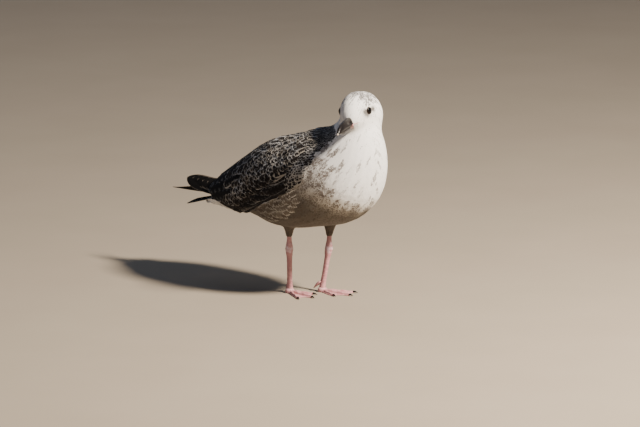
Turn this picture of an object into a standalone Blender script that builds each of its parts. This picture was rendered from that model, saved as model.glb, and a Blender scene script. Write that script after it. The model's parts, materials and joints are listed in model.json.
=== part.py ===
"""A life-size model of a first-winter large gull, standing with its head turned to its right.

The bird faces -Y, its left side is +X and up is +Z. Sizes below are in millimetres and are turned
into metres where a mesh is made. The trunk, neck and head are one smooth body of rounded masses,
sliced by planes square to a curved spine; wings, tail, bill, legs and feet are built round it.
"""

import math

import bmesh
import bpy
import numpy as np
from mathutils import Matrix, Vector

MM = 0.001

# Driving dimensions.
GAP = 0.4                      # clearance between neighbouring solids
BODY_HALF_WIDTH = 63.0         # trunk under the folded wings
HEAD_AT = np.array([0.0, -104.0, 277.0])
HEAD_TURN = 68.0               # degrees to the bird's right
HEAD_NOD = 3.0                 # degrees, bill down
HEAD_TILT = 5.0                # degrees, left eye raised
EYE_RADIUS = 7.2
EYE_SUNK = 5.3                 # depth of an eye's centre under the feathers
WING_TIP_BACK = 256.0
TAIL_END = 215.0

# Spine of the body as one Bezier curve in the mid-plane: (y, z) from the rump to the crown.
SPINE = np.array([[165.0, 140.0], [10.0, 160.0], [-104.0, 160.0], [-104.0, 309.0]])
NECK_START = 0.655             # places along the spine where the body is parted
HEAD_START = 0.845
BODY_SIDES = 32

COLOURS = {
    "white_plumage": (0.83, 0.83, 0.80, 1.0),
    "streaked_plumage": (0.74, 0.72, 0.67, 1.0),
    "mottled_plumage": (0.16, 0.13, 0.11, 1.0),
    "dark_quills": (0.025, 0.022, 0.022, 1.0),
    "horn_black": (0.03, 0.03, 0.035, 1.0),
    "eye": (0.01, 0.007, 0.006, 1.0),
    "leg_skin": (0.72, 0.42, 0.42, 1.0),
}
ROUGHNESS = {"horn_black": 0.35, "eye": 0.05, "leg_skin": 0.55}


def clear_scene():
    """Remove every object of the scene."""
    for thing in list(bpy.data.objects):
        bpy.data.objects.remove(thing)


def material(name):
    """The Principled material of one finish."""
    found = bpy.data.materials.get(name)
    if found:
        return found
    made = bpy.data.materials.new(name)
    made.use_nodes = True
    shader = made.node_tree.nodes["Principled BSDF"]
    shader.inputs["Base Color"].default_value = COLOURS[name]
    shader.inputs["Roughness"].default_value = ROUGHNESS.get(name, 0.8)
    made.diffuse_color = COLOURS[name]
    return made


def mesh_object(name, points, faces, finish):
    """An object from points in millimetres, its faces turned outwards."""
    mesh = bpy.data.meshes.new(name)
    mesh.from_pydata([tuple(p * MM) for p in np.asarray(points, float)], [], faces)
    shell = bmesh.new()
    shell.from_mesh(mesh)
    bmesh.ops.remove_doubles(shell, verts=shell.verts, dist=0.01 * MM)
    bmesh.ops.recalc_face_normals(shell, faces=shell.faces)
    shell.to_mesh(mesh)
    shell.free()
    mesh.materials.append(material(finish))
    mesh.shade_smooth()
    made = bpy.data.objects.new(name, mesh)
    bpy.context.scene.collection.objects.link(made)
    return made


def tube(name, rings, finish):
    """A closed tube through rings of points; a ring of one point is a pole, others get a flat cap."""
    points = [p for ring in rings for p in ring]
    faces, start = [], 0
    for ring, after in zip(rings, rings[1:]):
        n, m = len(ring), len(after)
        nxt = start + n
        for i in range(max(n, m)):
            j = (i + 1) % max(n, m)
            if n == 1:
                faces.append((start, nxt + i, nxt + j))
            elif m == 1:
                faces.append((start + i, nxt, start + j))
            else:
                faces.append((start + i, nxt + i, nxt + j, start + j))
        start = nxt
    if len(rings[0]) > 1:
        faces.append(tuple(range(len(rings[0]))))
    if len(rings[-1]) > 1:
        faces.append(tuple(reversed(range(start, start + len(rings[-1])))))
    return mesh_object(name, points, faces, finish)


# ---------------------------------------------------------------- fields: rounded masses, blended

def turn_about(axis, degrees):
    """A 3 x 3 rotation matrix."""
    return np.array(Matrix.Rotation(math.radians(degrees), 3, axis))


class Mass:
    """An ellipsoid of the body; its distance field blends with its neighbours."""

    def __init__(self, centre, half, turned=None, blend=14.0):
        self.centre = np.asarray(centre, float)
        self.half = np.asarray(half, float)
        self.turned = np.eye(3) if turned is None else turned
        self.blend = blend

    def distance(self, points):
        local = (points - self.centre) @ self.turned
        near = np.linalg.norm(local / self.half, axis=-1)
        slope = np.linalg.norm(local / self.half**2, axis=-1) + 1e-9
        return near * (near - 1.0) / slope


def smooth_join(first, second, width):
    """The smaller of two distances, rounded where they are within width of each other."""
    near = np.maximum(width - np.abs(first - second), 0.0) / width
    return np.minimum(first, second) - near * near * width / 4.0


def field(masses, points):
    total = masses[0].distance(points)
    for mass in masses[1:]:
        total = smooth_join(total, mass.distance(points), mass.blend)
    return total


def reach(masses, start, directions, far=130.0, step=2.0):
    """How far the blended body reaches from start along each unit direction."""
    lengths = np.arange(0.0, far, step)
    rays = start + directions[..., None, :] * lengths[:, None]
    outside = field(masses, rays) > 0.0
    high = lengths[np.argmax(outside, axis=-1)]
    low = np.maximum(high - step, 0.0)
    for _ in range(14):
        middle = (low + high) / 2.0
        out = field(masses, start + directions * middle[..., None]) > 0.0
        high = np.where(out, middle, high)
        low = np.where(out, low, middle)
    return (low + high) / 2.0


# ---------------------------------------------------------------- the bird's head frame

HEAD_AXES = (
    turn_about("Z", -HEAD_TURN) @ turn_about("X", HEAD_NOD) @ turn_about("Y", -HEAD_TILT)
)                              # columns: left, back, up of the turned head


def in_head(forward, left, up):
    """A point of the head, from millimetres forward, left and up of the head's centre."""
    return HEAD_AT + HEAD_AXES @ np.array([left, -forward, up])


def trunk_masses():
    """The ellipsoids of the trunk, without neck and head."""
    w = BODY_HALF_WIDTH
    return [
        Mass((0, 8, 164), (w, 118, 63), turn_about("X", -14.0)),
        Mass((0, -62, 176), (w + 1, 78, 66), turn_about("X", -32.0), 20.0),
        Mass((0, 108, 142), (34, 60, 29), turn_about("X", -17.0), 26.0),
        Mass((0, -38, 203), (44, 58, 37), turn_about("X", -20.0), 14.0),
        Mass((26, -8, 138), (36, 76, 38), turn_about("X", -8.0), 14.0),
        Mass((-26, -8, 138), (36, 76, 38), turn_about("X", -8.0), 14.0),
    ]


def body_masses():
    """The ellipsoids of trunk, neck and head."""
    return trunk_masses() + [
        Mass((1, -101, 222), (37.5, 38, 49), None, 24.0),
        Mass(in_head(-13, 0, -9), (28.8, 27.5, 31), HEAD_AXES, 12.0),
        Mass(in_head(1, 0, 0), (23.5, 34, 26.5), HEAD_AXES, 9.0),
        Mass(in_head(18, 0, -9), (12, 21, 12.5), HEAD_AXES, 14.0),
    ]


def spine(t):
    """Point and unit tangent of the spine at t from 0 to 1."""
    a, b, c, d = SPINE
    at = (1 - t) ** 3 * a + 3 * (1 - t) ** 2 * t * b + 3 * (1 - t) * t**2 * c + t**3 * d
    way = (1 - t) ** 2 * (b - a) + 2 * (1 - t) * t * (c - b) + t**2 * (d - c)
    way = way / np.linalg.norm(way)
    return np.array([0.0, *at]), np.array([0.0, *way])


def body_ring(masses, t, sides=BODY_SIDES, shift=0.0, swell=0.0):
    """The body's outline in the plane square to the spine at t."""
    at, way = spine(t)
    at = at + way * shift
    across = np.array([1.0, 0.0, 0.0])
    over = np.cross(across, way)
    angles = np.arange(sides) * math.tau / sides
    rays = np.cos(angles)[:, None] * over + np.sin(angles)[:, None] * across
    return list(at + rays * (reach(masses, at, rays)[:, None] + swell))


def pole(masses, t, sign, swell=0.0):
    """Where the spine, run on from t, leaves the body."""
    at, way = spine(t)
    ray = (way * sign)[None]
    return [at + ray[0] * (reach(masses, at, ray)[0] + swell)]


# ---------------------------------------------------------------- carving one solid by its neighbours

def swollen(thing, by):
    """A hidden copy of a solid, grown by a clearance, to cut its neighbours with."""
    copy = thing.copy()
    copy.data = thing.data.copy()
    copy.name = thing.name + "_cutter"
    shell = bmesh.new()
    shell.from_mesh(copy.data)
    bmesh.ops.recalc_face_normals(shell, faces=shell.faces)
    shell.normal_update()
    moves = [v.normal * by * MM * min(v.calc_shell_factor(), 2.5) for v in shell.verts]
    for vert, move in zip(shell.verts, moves):
        vert.co += move
    shell.to_mesh(copy.data)
    shell.free()
    copy.hide_render = True
    copy.display_type = "WIRE"
    bpy.context.scene.collection.objects.link(copy)
    return copy


def carve(thing, *neighbours, gap=GAP):
    """Cut a clearance round each neighbour out of a solid, and keep its largest piece.

    A neighbour that is hidden is a cutter already, and is used as it is.
    """
    cutters = [other if other.hide_render else swollen(other, gap) for other in neighbours]
    for cutter in cutters:
        cut = thing.modifiers.new("clear of " + cutter.name, "BOOLEAN")
        cut.operation = "DIFFERENCE"
        cut.solver = "MANIFOLD"
        cut.object = cutter
    bpy.context.view_layer.update()
    graph = bpy.context.evaluated_depsgraph_get()
    result = bpy.data.meshes.new_from_object(thing.evaluated_get(graph))
    thing.modifiers.clear()
    thing.data = result
    for cutter in set(cutters) - set(neighbours):
        bpy.data.objects.remove(cutter)
    keep_largest_piece(thing.data)


def keep_largest_piece(mesh):
    """Drop the crumbs that a cut leaves."""
    shell = bmesh.new()
    shell.from_mesh(mesh)
    shell.verts.ensure_lookup_table()
    left, pieces = set(shell.verts), []
    while left:
        queue = [left.pop()]
        piece = set(queue)
        while queue:
            for edge in queue.pop().link_edges:
                for vert in edge.verts:
                    if vert in left:
                        left.discard(vert)
                        piece.add(vert)
                        queue.append(vert)
        pieces.append(piece)
    pieces.sort(key=len)
    crumbs = [vert for piece in pieces[:-1] for vert in piece]
    bmesh.ops.delete(shell, geom=crumbs, context="VERTS")
    shell.to_mesh(mesh)
    shell.free()


# ---------------------------------------------------------------- trunk, neck and head

def body_piece(name, places, finish, closed_start=False, closed_end=False, swell=0.0):
    """The body between two places on its spine, with flat faces where it is parted."""
    masses = body_masses()
    rings = []
    for i, t in enumerate(places):
        inward = (i == 0 and not closed_start) - (i == len(places) - 1 and not closed_end)
        rings.append(body_ring(masses, t, shift=inward * GAP / 2, swell=swell))
    if closed_start:
        rings.insert(0, pole(masses, places[0], -1, swell))
    if closed_end:
        rings.append(pole(masses, places[-1], 1, swell))
    return tube(name, rings, finish)


def build_body():
    """Trunk, neck and head, parted square to the spine, and a hidden cutter round the first two."""
    trunk_at = np.linspace(0.004, NECK_START, 24)
    neck_at = np.linspace(NECK_START, HEAD_START, 9)
    head_at = np.linspace(HEAD_START, 0.988, 14)
    trunk = body_piece("trunk", trunk_at, "streaked_plumage", closed_start=True)
    neck = body_piece("neck", neck_at, "white_plumage")
    head = body_piece("head", head_at, "white_plumage", closed_end=True)
    room = body_piece(
        "room_for_body", [*trunk_at, *neck_at[1:]], "white_plumage", closed_start=True, swell=1.5 * GAP,
    )
    room.hide_render = True
    room.display_type = "WIRE"
    return trunk, neck, head, room


# ---------------------------------------------------------------- wings, quills and tail

# Folded wing, front to rear: y, angle of its top edge and of its lower edge from straight up,
# how far it stands proud of the trunk, and the least distance of its lower edge from the axis.
WING_STATIONS = [
    (-74, 56, 66, 0.0, 0), (-62, 42, 86, 1.5, 0), (-38, 26, 99, 3.0, 0), (-8, 15, 108, 3.5, 0),
    (26, 10, 117, 3.5, 61), (50, 8, 128, 2.5, 64), (74, 7, 132, 1.0, 63), (101, 7, 130, 0.3, 55),
    (128, 9, 124, 0.2, 46), (156, 13, 113, 0.5, 33), (174, 24, 94, 0.5, 21), (181, 38, 76, 0.0, 12),
]
WING_AXIS = (168.0, -0.2)      # height at y = 0 and slope of the line its rays start from


def wing_masses():
    """The trunk run on to the rear, which the folded wings lie on."""
    return trunk_masses() + [
        Mass((0, 62, 150), (56, 92, 39), turn_about("X", -15.0), 10.0),
        Mass((0, 130, 136), (34, 56, 16), turn_about("X", -14.0), 12.0),
    ]


def between(table, value):
    """A row of a table at value of its first column, the other columns joined smoothly."""
    table = np.asarray(table, float)
    keys = table[:, 0]
    slopes = np.gradient(table[:, 1:], keys, axis=0)
    i = int(np.clip(np.searchsorted(keys, value) - 1, 0, len(keys) - 2))
    span = keys[i + 1] - keys[i]
    u = np.clip((value - keys[i]) / span, 0.0, 1.0)
    a, b = table[i, 1:], table[i + 1, 1:]
    return (
        (2 * u**3 - 3 * u**2 + 1) * a + (u**3 - 2 * u**2 + u) * span * slopes[i]
        + (3 * u**2 - 2 * u**3) * b + (u**3 - u**2) * span * slopes[i + 1]
    )


def build_wing(name, side, grow=0.0, steps=17, across=9):
    """A folded wing as a curved shell on the trunk's side, thin at its edges and rear.

    grow makes it larger all round, as a cutter for what lies against it.
    """
    masses = wing_masses()
    places = np.linspace(WING_STATIONS[0][0], WING_STATIONS[-1][0], steps)
    share = np.linspace(0.0, 1.0, across)
    rings = []
    for i, y in enumerate(places):
        top, low, proud, edge = between(WING_STATIONS, y)
        start = np.array([0.0, y, WING_AXIS[0] + WING_AXIS[1] * y])
        angles = np.radians(top + (low - top) * share)
        rays = np.stack([side * np.sin(angles), 0 * angles, np.cos(angles)], axis=-1)
        far = reach(masses, start, rays)
        swell = 1.5 + proud * (0.25 + 0.75 * np.sin(np.pi * share) ** 0.6)
        swell += max(edge - far[-1], 0.0) * share**2
        depth = np.interp(y, [100.0, 150.0, 182.0], [13.0, 6.0, 1.6])
        thick = 1.2 + (depth - 1.2) * np.sin(np.pi * share) ** 0.5
        outer = start + rays * (far + swell)[:, None]
        inner = start + rays * np.maximum(far + swell - thick, 2.5)[:, None]
        ring = grown(np.array([*outer, *inner[::-1]]), grow)
        ring[:, 1] += grow * ((i == steps - 1) - (i == 0))
        rings.append(list(ring))
    return tube(name, rings, "mottled_plumage")


def grown(ring, by):
    """A ring that lies in a plane square to Y, moved outwards by a distance."""
    along = np.roll(ring, -1, axis=0) - np.roll(ring, 1, axis=0)
    out = np.stack([along[:, 2], 0 * along[:, 0], -along[:, 0]], axis=-1)
    out /= np.linalg.norm(out, axis=1)[:, None]
    after = np.roll(ring, -1, axis=0)
    area = np.sum(ring[:, 0] * after[:, 2] - after[:, 0] * ring[:, 2])
    return ring + out * by * np.sign(area)


def build_wings(room_for_body):
    """Build both folded wings, and give back a hidden cutter round each."""
    rooms = []
    for side, hand in ((-1, "right"), (1, "left")):
        wing = build_wing("wing_" + hand, side)
        carve(wing, room_for_body)
        room = build_wing("room_for_wing_" + hand, side, grow=2.5 * GAP)
        room.hide_render = True
        room.display_type = "WIRE"
        rooms.append(room)
    return rooms


def vane(name, path, across, widths, finish, thick=1.8, arch=0.0, steps=11, ribs=6):
    """A stiff blade of feathers: a smooth path, its direction across, and half-widths along it.

    arch lifts the middle of the blade above its edges.
    """
    path = np.asarray(path, float)
    across = np.asarray(across, float) / np.linalg.norm(across)
    rings = []
    for t in np.linspace(0.0, 1.0, steps):
        centre = (1 - t) ** 2 * path[0] + 2 * (1 - t) * t * path[1] + t**2 * path[2]
        along = (1 - t) * (path[1] - path[0]) + t * (path[2] - path[1])
        lift = np.cross(along, across)
        lift = lift / np.linalg.norm(lift)
        lift = lift if lift[2] > 0 else -lift
        half = between(widths, t)[0]
        share = np.linspace(-1.0, 1.0, ribs)
        rise = arch * (1.0 - share**2) * half / 30.0
        depth = thick * (0.45 + 0.55 * np.sqrt(np.maximum(0.0, 1.0 - share**2)))
        top = centre + across * (share * half)[:, None] + lift * (rise + depth / 2)[:, None]
        low = centre + across * (share * half)[:, None] + lift * (rise - depth / 2)[:, None]
        rings.append(list(top) + list(low[::-1]))
    return tube(name, rings, finish)


def build_quills():
    """The folded primaries, right tip crossed over left, and the tail below them."""
    tail = vane(
        "tail", [(0, 128, 127), (-1, 172, 117), (-2, TAIL_END, 106)], (1, 0, 0.02),
        [(0, 17), (0.35, 24), (0.7, 29), (0.88, 32), (0.96, 29), (1, 18)], "dark_quills", 2.2, 6.0,
    )
    left = vane(
        "primaries_left", [(30, 120, 134), (16, 180, 121), (-12, WING_TIP_BACK + 2, 121)],
        (0.62, 0.1, -0.5), [(0, 14), (0.4, 13), (0.7, 9.5), (0.9, 4.5), (1, 1.2)],
        "dark_quills", 1.8, 5.0,
    )
    right = vane(
        "primaries_right", [(-30, 120, 138), (-17, 180, 133), (8, WING_TIP_BACK - 9, 134)],
        (-0.62, 0.1, -0.6), [(0, 14), (0.4, 14), (0.7, 12.5), (0.9, 9.0), (1, 3.5)],
        "dark_quills", 1.8, 5.0,
    )
    return tail, left, right


# ---------------------------------------------------------------- bill and eyes

# Bill, from the head's centre forward: ridge height, cutting edge height, keel height, half-width.
BILL_STATIONS = [
    (26, -0.8, -12.4, -20.8, 7.2), (35, -1.8, -12.8, -21.0, 6.6), (44, -2.6, -13.1, -21.1, 5.7),
    (54, -3.1, -13.6, -21.5, 4.9), (63, -4.2, -14.1, -22.2, 4.4), (70, -6.0, -14.5, -20.8, 3.9),
    (76, -8.7, -14.9, -18.6, 3.2), (81, -12.6, -15.8, -17.0, 2.2), (84, -16.8, -17.8, -18.0, 0.8),
]


def build_bill():
    """Upper and lower mandible, the upper hooked over the lower."""
    rings = {"bill_upper": [], "bill_lower": []}
    arc = np.radians(np.linspace(0.0, 180.0, 9))
    for forward in np.linspace(26.0, 84.0, 16):
        ridge, edge, keel, half = between(BILL_STATIONS, forward)
        rings["bill_upper"].append([
            in_head(forward, half * math.cos(a), edge + (ridge - edge) * math.sin(a) ** 0.85)
            for a in arc
        ])
        top = edge - GAP
        if forward < 80.0:
            rings["bill_lower"].append([
                in_head(forward, 0.88 * half * math.cos(a), top - (top - keel) * math.sin(a) ** 0.8)
                for a in arc
            ])
    return (
        tube("bill_upper", rings["bill_upper"], "horn_black"),
        tube("bill_lower", rings["bill_lower"], "horn_black"),
    )


def build_eye(name, side):
    """An eyeball set into the head so that a cap of it shows."""
    start = in_head(11.0, 0.0, 0.5)
    ray = HEAD_AXES @ np.array([side, -0.06, 0.04])
    ray = ray / np.linalg.norm(ray)
    centre = start + ray * (reach(body_masses(), start, ray[None])[0] - EYE_SUNK)
    mesh = bpy.data.meshes.new(name)
    ball = bmesh.new()
    place = Matrix.Translation(Vector(centre * MM))
    bmesh.ops.create_uvsphere(
        ball, u_segments=12, v_segments=7, radius=EYE_RADIUS * MM, matrix=place,
    )
    ball.to_mesh(mesh)
    ball.free()
    mesh.materials.append(material("eye"))
    mesh.shade_smooth()
    made = bpy.data.objects.new(name, mesh)
    bpy.context.scene.collection.objects.link(made)
    return made


# ---------------------------------------------------------------- legs and feet

# Each leg: foot, heel joint and hip, as (x, y, z); the left foot is a step ahead.
LEGS = {
    "right": ((-19, 13, 0), (-24, 9, 65), (-31, 2, 122)),
    "left": ((19, -15, 0), (26, -21, 62), (32, -19, 122)),
}
# Toes of a foot: angle outwards from straight ahead, length, thickness at the root.
TOES = {"inner": (-27.0, 37.0, 2.6), "middle": (-1.0, 49.0, 3.0), "outer": (24.0, 46.0, 2.7)}
WEB_THICK = 1.1
PAD_RADIUS = 6.5
FOOT_TURN = 7.0                # degrees that each foot points outwards


def limb(name, path, finish, sides=14):
    """A limb from (centre, half-width, half-depth) stations, with flat level ends."""
    turns = np.arange(sides) * math.tau / sides
    rings = [
        [np.array([c[0] + w * math.cos(a), c[1] + d * math.sin(a), c[2]]) for a in turns]
        for c, w, d in path
    ]
    return tube(name, rings, finish)


def along(start, end, z):
    """The point at height z on the line from start to end."""
    start, end = np.asarray(start, float), np.asarray(end, float)
    return start + (end - start) * (z - start[2]) / (end[2] - start[2])


def build_leg(side):
    """Feathered thigh, and the bare shank with its heel joint and scaled tarsus."""
    foot, heel, hip = LEGS[side]
    foot_top = np.array(foot) + (0, 0, 7.4)
    bare = heel[2] + 19.0
    thigh = [
        (along(heel, hip, bare + rise), half, half * 1.1)
        for rise, half in ((0.0, 3.7), (5.0, 4.6), (11.0, 6.2), (20.0, 10.5), (34.0, 15.0))
    ]
    shank = [
        (along(heel, hip, bare - GAP), 3.1, 3.4), (along(heel, hip, heel[2] + 12), 3.4, 3.8),
        (along(heel, hip, heel[2] + 6), 4.5, 5.1), (heel, 5.1, 5.9),
        (along(foot_top, heel, heel[2] - 6), 4.4, 5.2),
        (along(foot_top, heel, heel[2] - 12), 3.4, 4.3),
        (along(foot_top, heel, heel[2] - 25), 3.1, 4.0),
        (along(foot_top, heel, 22.0), 3.1, 4.0), (along(foot_top, heel, 13.0), 3.5, 4.3),
        (along(foot_top, heel, 7.4 + GAP), 4.1, 4.7),
    ]
    return (
        limb("thigh_" + side, thigh[::-1], "streaked_plumage"),
        limb("shank_" + side, shank, "leg_skin"),
    )


def foot_turn(side):
    """+1 or -1 for the side, and the rotation of a foot from straight ahead."""
    hand = 1.0 if side == "left" else -1.0
    return hand, turn_about("Z", hand * FOOT_TURN)


def toe_point(side, angle, far, height):
    """A world point at a distance and angle outwards from the joint of the toes."""
    hand, turned = foot_turn(side)
    way = math.radians(angle) * hand
    flat = np.array([math.sin(way), -math.cos(way), 0.0]) * far
    return np.array(LEGS[side][0], float) + turned @ flat + (0.0, 0.0, height)


def web_edge(angle):
    """How far the foot reaches at an angle: round toe ends, hollow webs, a round pad behind."""
    ends = sorted(TOES.values())
    first, last = ends[0][0], ends[-1][0]
    for toe, length, root in ends:
        if abs(angle - toe) <= 3.0:
            return length - 2.2 * (abs(angle - toe) / 3.0) ** 2
    for (a, long_a, _), (b, long_b, _) in zip(ends, ends[1:]):
        if a < angle < b:
            u = (angle - a) / (b - a)
            return (long_a * (1 - u) + long_b * u) * (1.0 - 0.62 * u * (1 - u)) - 2.0
    out = min(abs(angle - first), abs(angle - last), 360.0 - abs(angle - first))
    reach_out = 30.0 / max(math.sin(math.radians(min(out, 90.0))), 0.06) / 10.0
    return max(PAD_RADIUS, min(reach_out, 30.0))


def foot_height(angle, far):
    """Height of the foot's upper side: a thin web with the toes as ridges over it."""
    height = WEB_THICK
    for toe, length, root in TOES.values():
        radius = root * (1.0 - 0.35 * min(far / length, 1.0))
        aside = far * math.sin(math.radians(min(abs(angle - toe), 90.0)))
        joint = 1.0 + 0.08 * math.cos(far * math.tau / (length / 3.0))
        if aside < radius:
            height = max(height, 1.8 * radius * joint * math.sqrt(1.0 - (aside / radius) ** 2))
    dome = 7.4 * math.exp(-((far / 7.5) ** 4))
    return max(height, dome)


def build_foot(side):
    """A webbed foot: three toes and their webs as one solid with a flat sole."""
    offsets = (-5.0, -3.0, -1.6, 0.0, 1.6, 3.0, 5.0)
    angles = {round(toe + o, 2) for toe, _, _ in TOES.values() for o in offsets}
    angles |= {-18.0, -14.0, -10.0, 8.0, 12.0, 16.0}
    angles |= {-36.0, -48.0, -70.0, 33.0, 46.0, 70.0, 105.0, 140.0, 178.0, -143.0, -107.0}
    shares = (1.0, 0.92, 0.74, 0.54, 0.36, 0.22, 0.1)
    angles = sorted(angles)
    rings = [[toe_point(side, a, web_edge(a), 0.0) for a in angles]]
    for share in shares:
        rings.append([
            toe_point(
                side, a, web_edge(a) * share,
                foot_height(a, web_edge(a) * share) * (0.75 if share == 1.0 else 1.0),
            )
            for a in angles
        ])
    rings.append([toe_point(side, 0.0, 0.0, 7.4)])
    return tube("foot_" + side, rings, "leg_skin")


def build_claws(side):
    """A curved claw at each front toe, and the short raised hind toe."""
    made = []
    for toe, (angle, length, _) in TOES.items():
        rings = []
        for ahead, height, radius in ((GAP, 2.1, 1.35), (2.4, 2.2, 1.15), (4.4, 1.6, 0.75), (6.2, 0.75, 0.3)):
            hand, turned = foot_turn(side)
            ring = []
            for a in np.arange(8) * math.tau / 8:
                sidestep = math.degrees(radius * math.cos(a) / length)
                ring.append(toe_point(side, angle + sidestep, length + ahead, height + radius * math.sin(a)))
            rings.append(ring)
        made.append(tube(f"claw_{side}_{toe}", rings, "horn_black"))
    rings = []
    for back, height, radius in ((2.5, 14.0, 2.2), (6.4, 11.4, 2.3), (9.6, 8.4, 1.7), (12.2, 5.6, 0.9), (13.4, 4.0, 0.3)):
        ring = []
        for a in np.arange(8) * math.tau / 8:
            sidestep = math.degrees(radius * math.cos(a) / back)
            ring.append(toe_point(side, 196.0 + sidestep, back + 0.6 * radius * math.sin(a), height + 0.8 * radius * math.sin(a)))
        rings.append(ring)
    made.append(tube("hind_toe_" + side, rings, "leg_skin"))
    return made


# ---------------------------------------------------------------- the whole bird

def stand_on_origin(things):
    """Move everything so that the origin is under the middle of the bird's box."""
    seen = [thing for thing in things if not thing.hide_render]
    corners = np.array([v.co for thing in seen for v in thing.data.vertices])
    low, high = corners.min(axis=0), corners.max(axis=0)
    shift = Vector((-(low[0] + high[0]) / 2, -(low[1] + high[1]) / 2, -low[2]))
    for mesh in {thing.data for thing in things}:
        mesh.transform(Matrix.Translation(shift))
    print("moved by", [round(c / MM, 3) for c in shift])


def main():
    """Build every part of the gull."""
    clear_scene()
    trunk, neck, head, room_for_body = build_body()
    bill_upper, bill_lower = build_bill()
    eyes = [build_eye("eye_right", -1), build_eye("eye_left", 1)]
    carve(bill_upper, head)
    carve(bill_lower, head, bill_upper)
    carve(head, *eyes, gap=GAP)
    tail, primaries_left, primaries_right = build_quills()
    rooms = build_wings(room_for_body)
    carve(tail, room_for_body, *rooms)
    carve(primaries_left, room_for_body, tail, *rooms)
    carve(primaries_right, room_for_body, *rooms)
    carve(primaries_right, primaries_left, gap=1.5 * GAP)
    for side in LEGS:
        thigh, shank = build_leg(side)
        carve(thigh, room_for_body)
        foot = build_foot(side)
        hind_toe = build_claws(side)[-1]
        carve(hind_toe, shank, foot)
    stand_on_origin([thing for thing in bpy.data.objects if thing.type == "MESH"])


if __name__ == "__main__":
    main()
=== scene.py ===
"""Dressed model of a standing immature gull, built round its CAD frame.

Lengths inside the classes are millimetres in the bird's own frame: the bird faces -Y, its left
is +X, and the origin is on the ground between the feet. world() turns them into the row frame
in metres.
"""

from __future__ import annotations

import json
import logging
import math
from dataclasses import dataclass, field
from enum import Enum
from typing import Callable, Iterable, Sequence

import bmesh
import bpy
import numpy as np
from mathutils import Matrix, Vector
from mathutils.bvhtree import BVHTree

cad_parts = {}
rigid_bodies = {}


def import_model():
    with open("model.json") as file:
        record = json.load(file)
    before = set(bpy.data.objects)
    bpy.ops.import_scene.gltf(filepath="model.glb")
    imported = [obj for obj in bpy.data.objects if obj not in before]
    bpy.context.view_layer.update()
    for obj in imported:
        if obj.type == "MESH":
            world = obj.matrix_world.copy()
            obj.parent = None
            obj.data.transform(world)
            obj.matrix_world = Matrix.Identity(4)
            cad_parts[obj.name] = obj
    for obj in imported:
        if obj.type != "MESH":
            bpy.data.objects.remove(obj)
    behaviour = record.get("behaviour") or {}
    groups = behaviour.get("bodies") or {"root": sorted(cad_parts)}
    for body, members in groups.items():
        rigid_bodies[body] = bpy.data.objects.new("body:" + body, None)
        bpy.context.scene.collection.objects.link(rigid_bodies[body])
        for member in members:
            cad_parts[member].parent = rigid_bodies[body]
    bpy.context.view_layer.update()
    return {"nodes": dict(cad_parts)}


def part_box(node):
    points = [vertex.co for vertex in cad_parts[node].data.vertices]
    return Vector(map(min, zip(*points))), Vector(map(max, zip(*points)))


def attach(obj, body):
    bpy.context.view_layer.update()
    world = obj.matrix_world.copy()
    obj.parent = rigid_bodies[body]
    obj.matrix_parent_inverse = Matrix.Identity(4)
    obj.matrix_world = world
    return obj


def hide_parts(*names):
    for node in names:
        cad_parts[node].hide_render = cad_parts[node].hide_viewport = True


LOG = logging.getLogger("gull")

Array = np.ndarray
Laid = tuple[Array, list[tuple[int, ...]], Array]
Thing, Mesh = bpy.types.Object, bpy.types.Mesh
Node, Socket = bpy.types.Node, bpy.types.NodeSocket

MM = 0.001
# where the bird's own origin stands in the row frame
MOVED = np.array([4.358, -58.399, 0.0])
HEAD_AT = np.array([0.0, -104.0, 277.0])
# forward, left and up of the head's centre
BILL_ROOT = (28.0, 0.0, -10.0)
# control points of one curve from the rump to the crown
SPINE = np.array([[0.0, 165.0, 140.0], [0.0, 10.0, 160.0], [0.0, -104.0, 160.0], [0.0, -104.0, 309.0]])
USUAL_REACH = 45.0
# height of the wings' axis at y 0, and its rise with y
WING_AXIS = (168.0, -0.2)
# distance from the bill's root, and length of the small feathers there
FEATHER_SPANS = (
    (0.0, 2.3), (12.0, 3.0), (30.0, 4.4), (50.0, 6.2), (80.0, 9.0), (130.0, 12.5), (200.0, 14.5),
)
# width of a small feather on the OFBake map
SMALL_PATCH = 0.003


# ---------------------------------------------------------------- frames of reference

def turn_about(axis: str, degrees: float) -> Array:
    """Rotation matrix about a named axis."""
    a = math.radians(degrees)
    i, j = {"X": (1, 2), "Y": (2, 0), "Z": (0, 1)}[axis]
    m = np.eye(3)
    m[i, i] = m[j, j] = math.cos(a)
    m[i, j], m[j, i] = -math.sin(a), math.sin(a)
    return m


HEAD_AXES = turn_about("Z", -68.0) @ turn_about("X", 3.0) @ turn_about("Y", -5.0)


def in_head(forward: float, left: float, up: float) -> Array:
    """A point given from the head's centre, along the bill, to the left and up."""
    return HEAD_AT + HEAD_AXES @ np.array([left, -forward, up])


def head_coordinates(points: Array) -> Array:
    """Distances forward, left and up from the head's centre, one row for each point."""
    local = (points - HEAD_AT) @ HEAD_AXES
    return np.stack([-local[:, 1], local[:, 0], local[:, 2]], axis=1)


def world(points: Array) -> Array:
    """Bird millimetres to the row frame in metres."""
    return (np.asarray(points, float) + MOVED) * MM


def bird(points: Array) -> Array:
    """The row frame in metres to bird millimetres."""
    return np.asarray(points, float) / MM - MOVED


def unit(vectors: Array) -> Array:
    """Vectors scaled to length one, along the last axis."""
    size = np.linalg.norm(vectors, axis=-1, keepdims=True)
    return vectors / np.maximum(size, 1e-9)


def smoothstep(low: float, high: float, value: Array) -> Array:
    """0 below low, 1 above high, with a soft ramp between."""
    t = np.clip((np.asarray(value, float) - low) / (high - low), 0.0, 1.0)
    return t * t * (3.0 - 2.0 * t)


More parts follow.
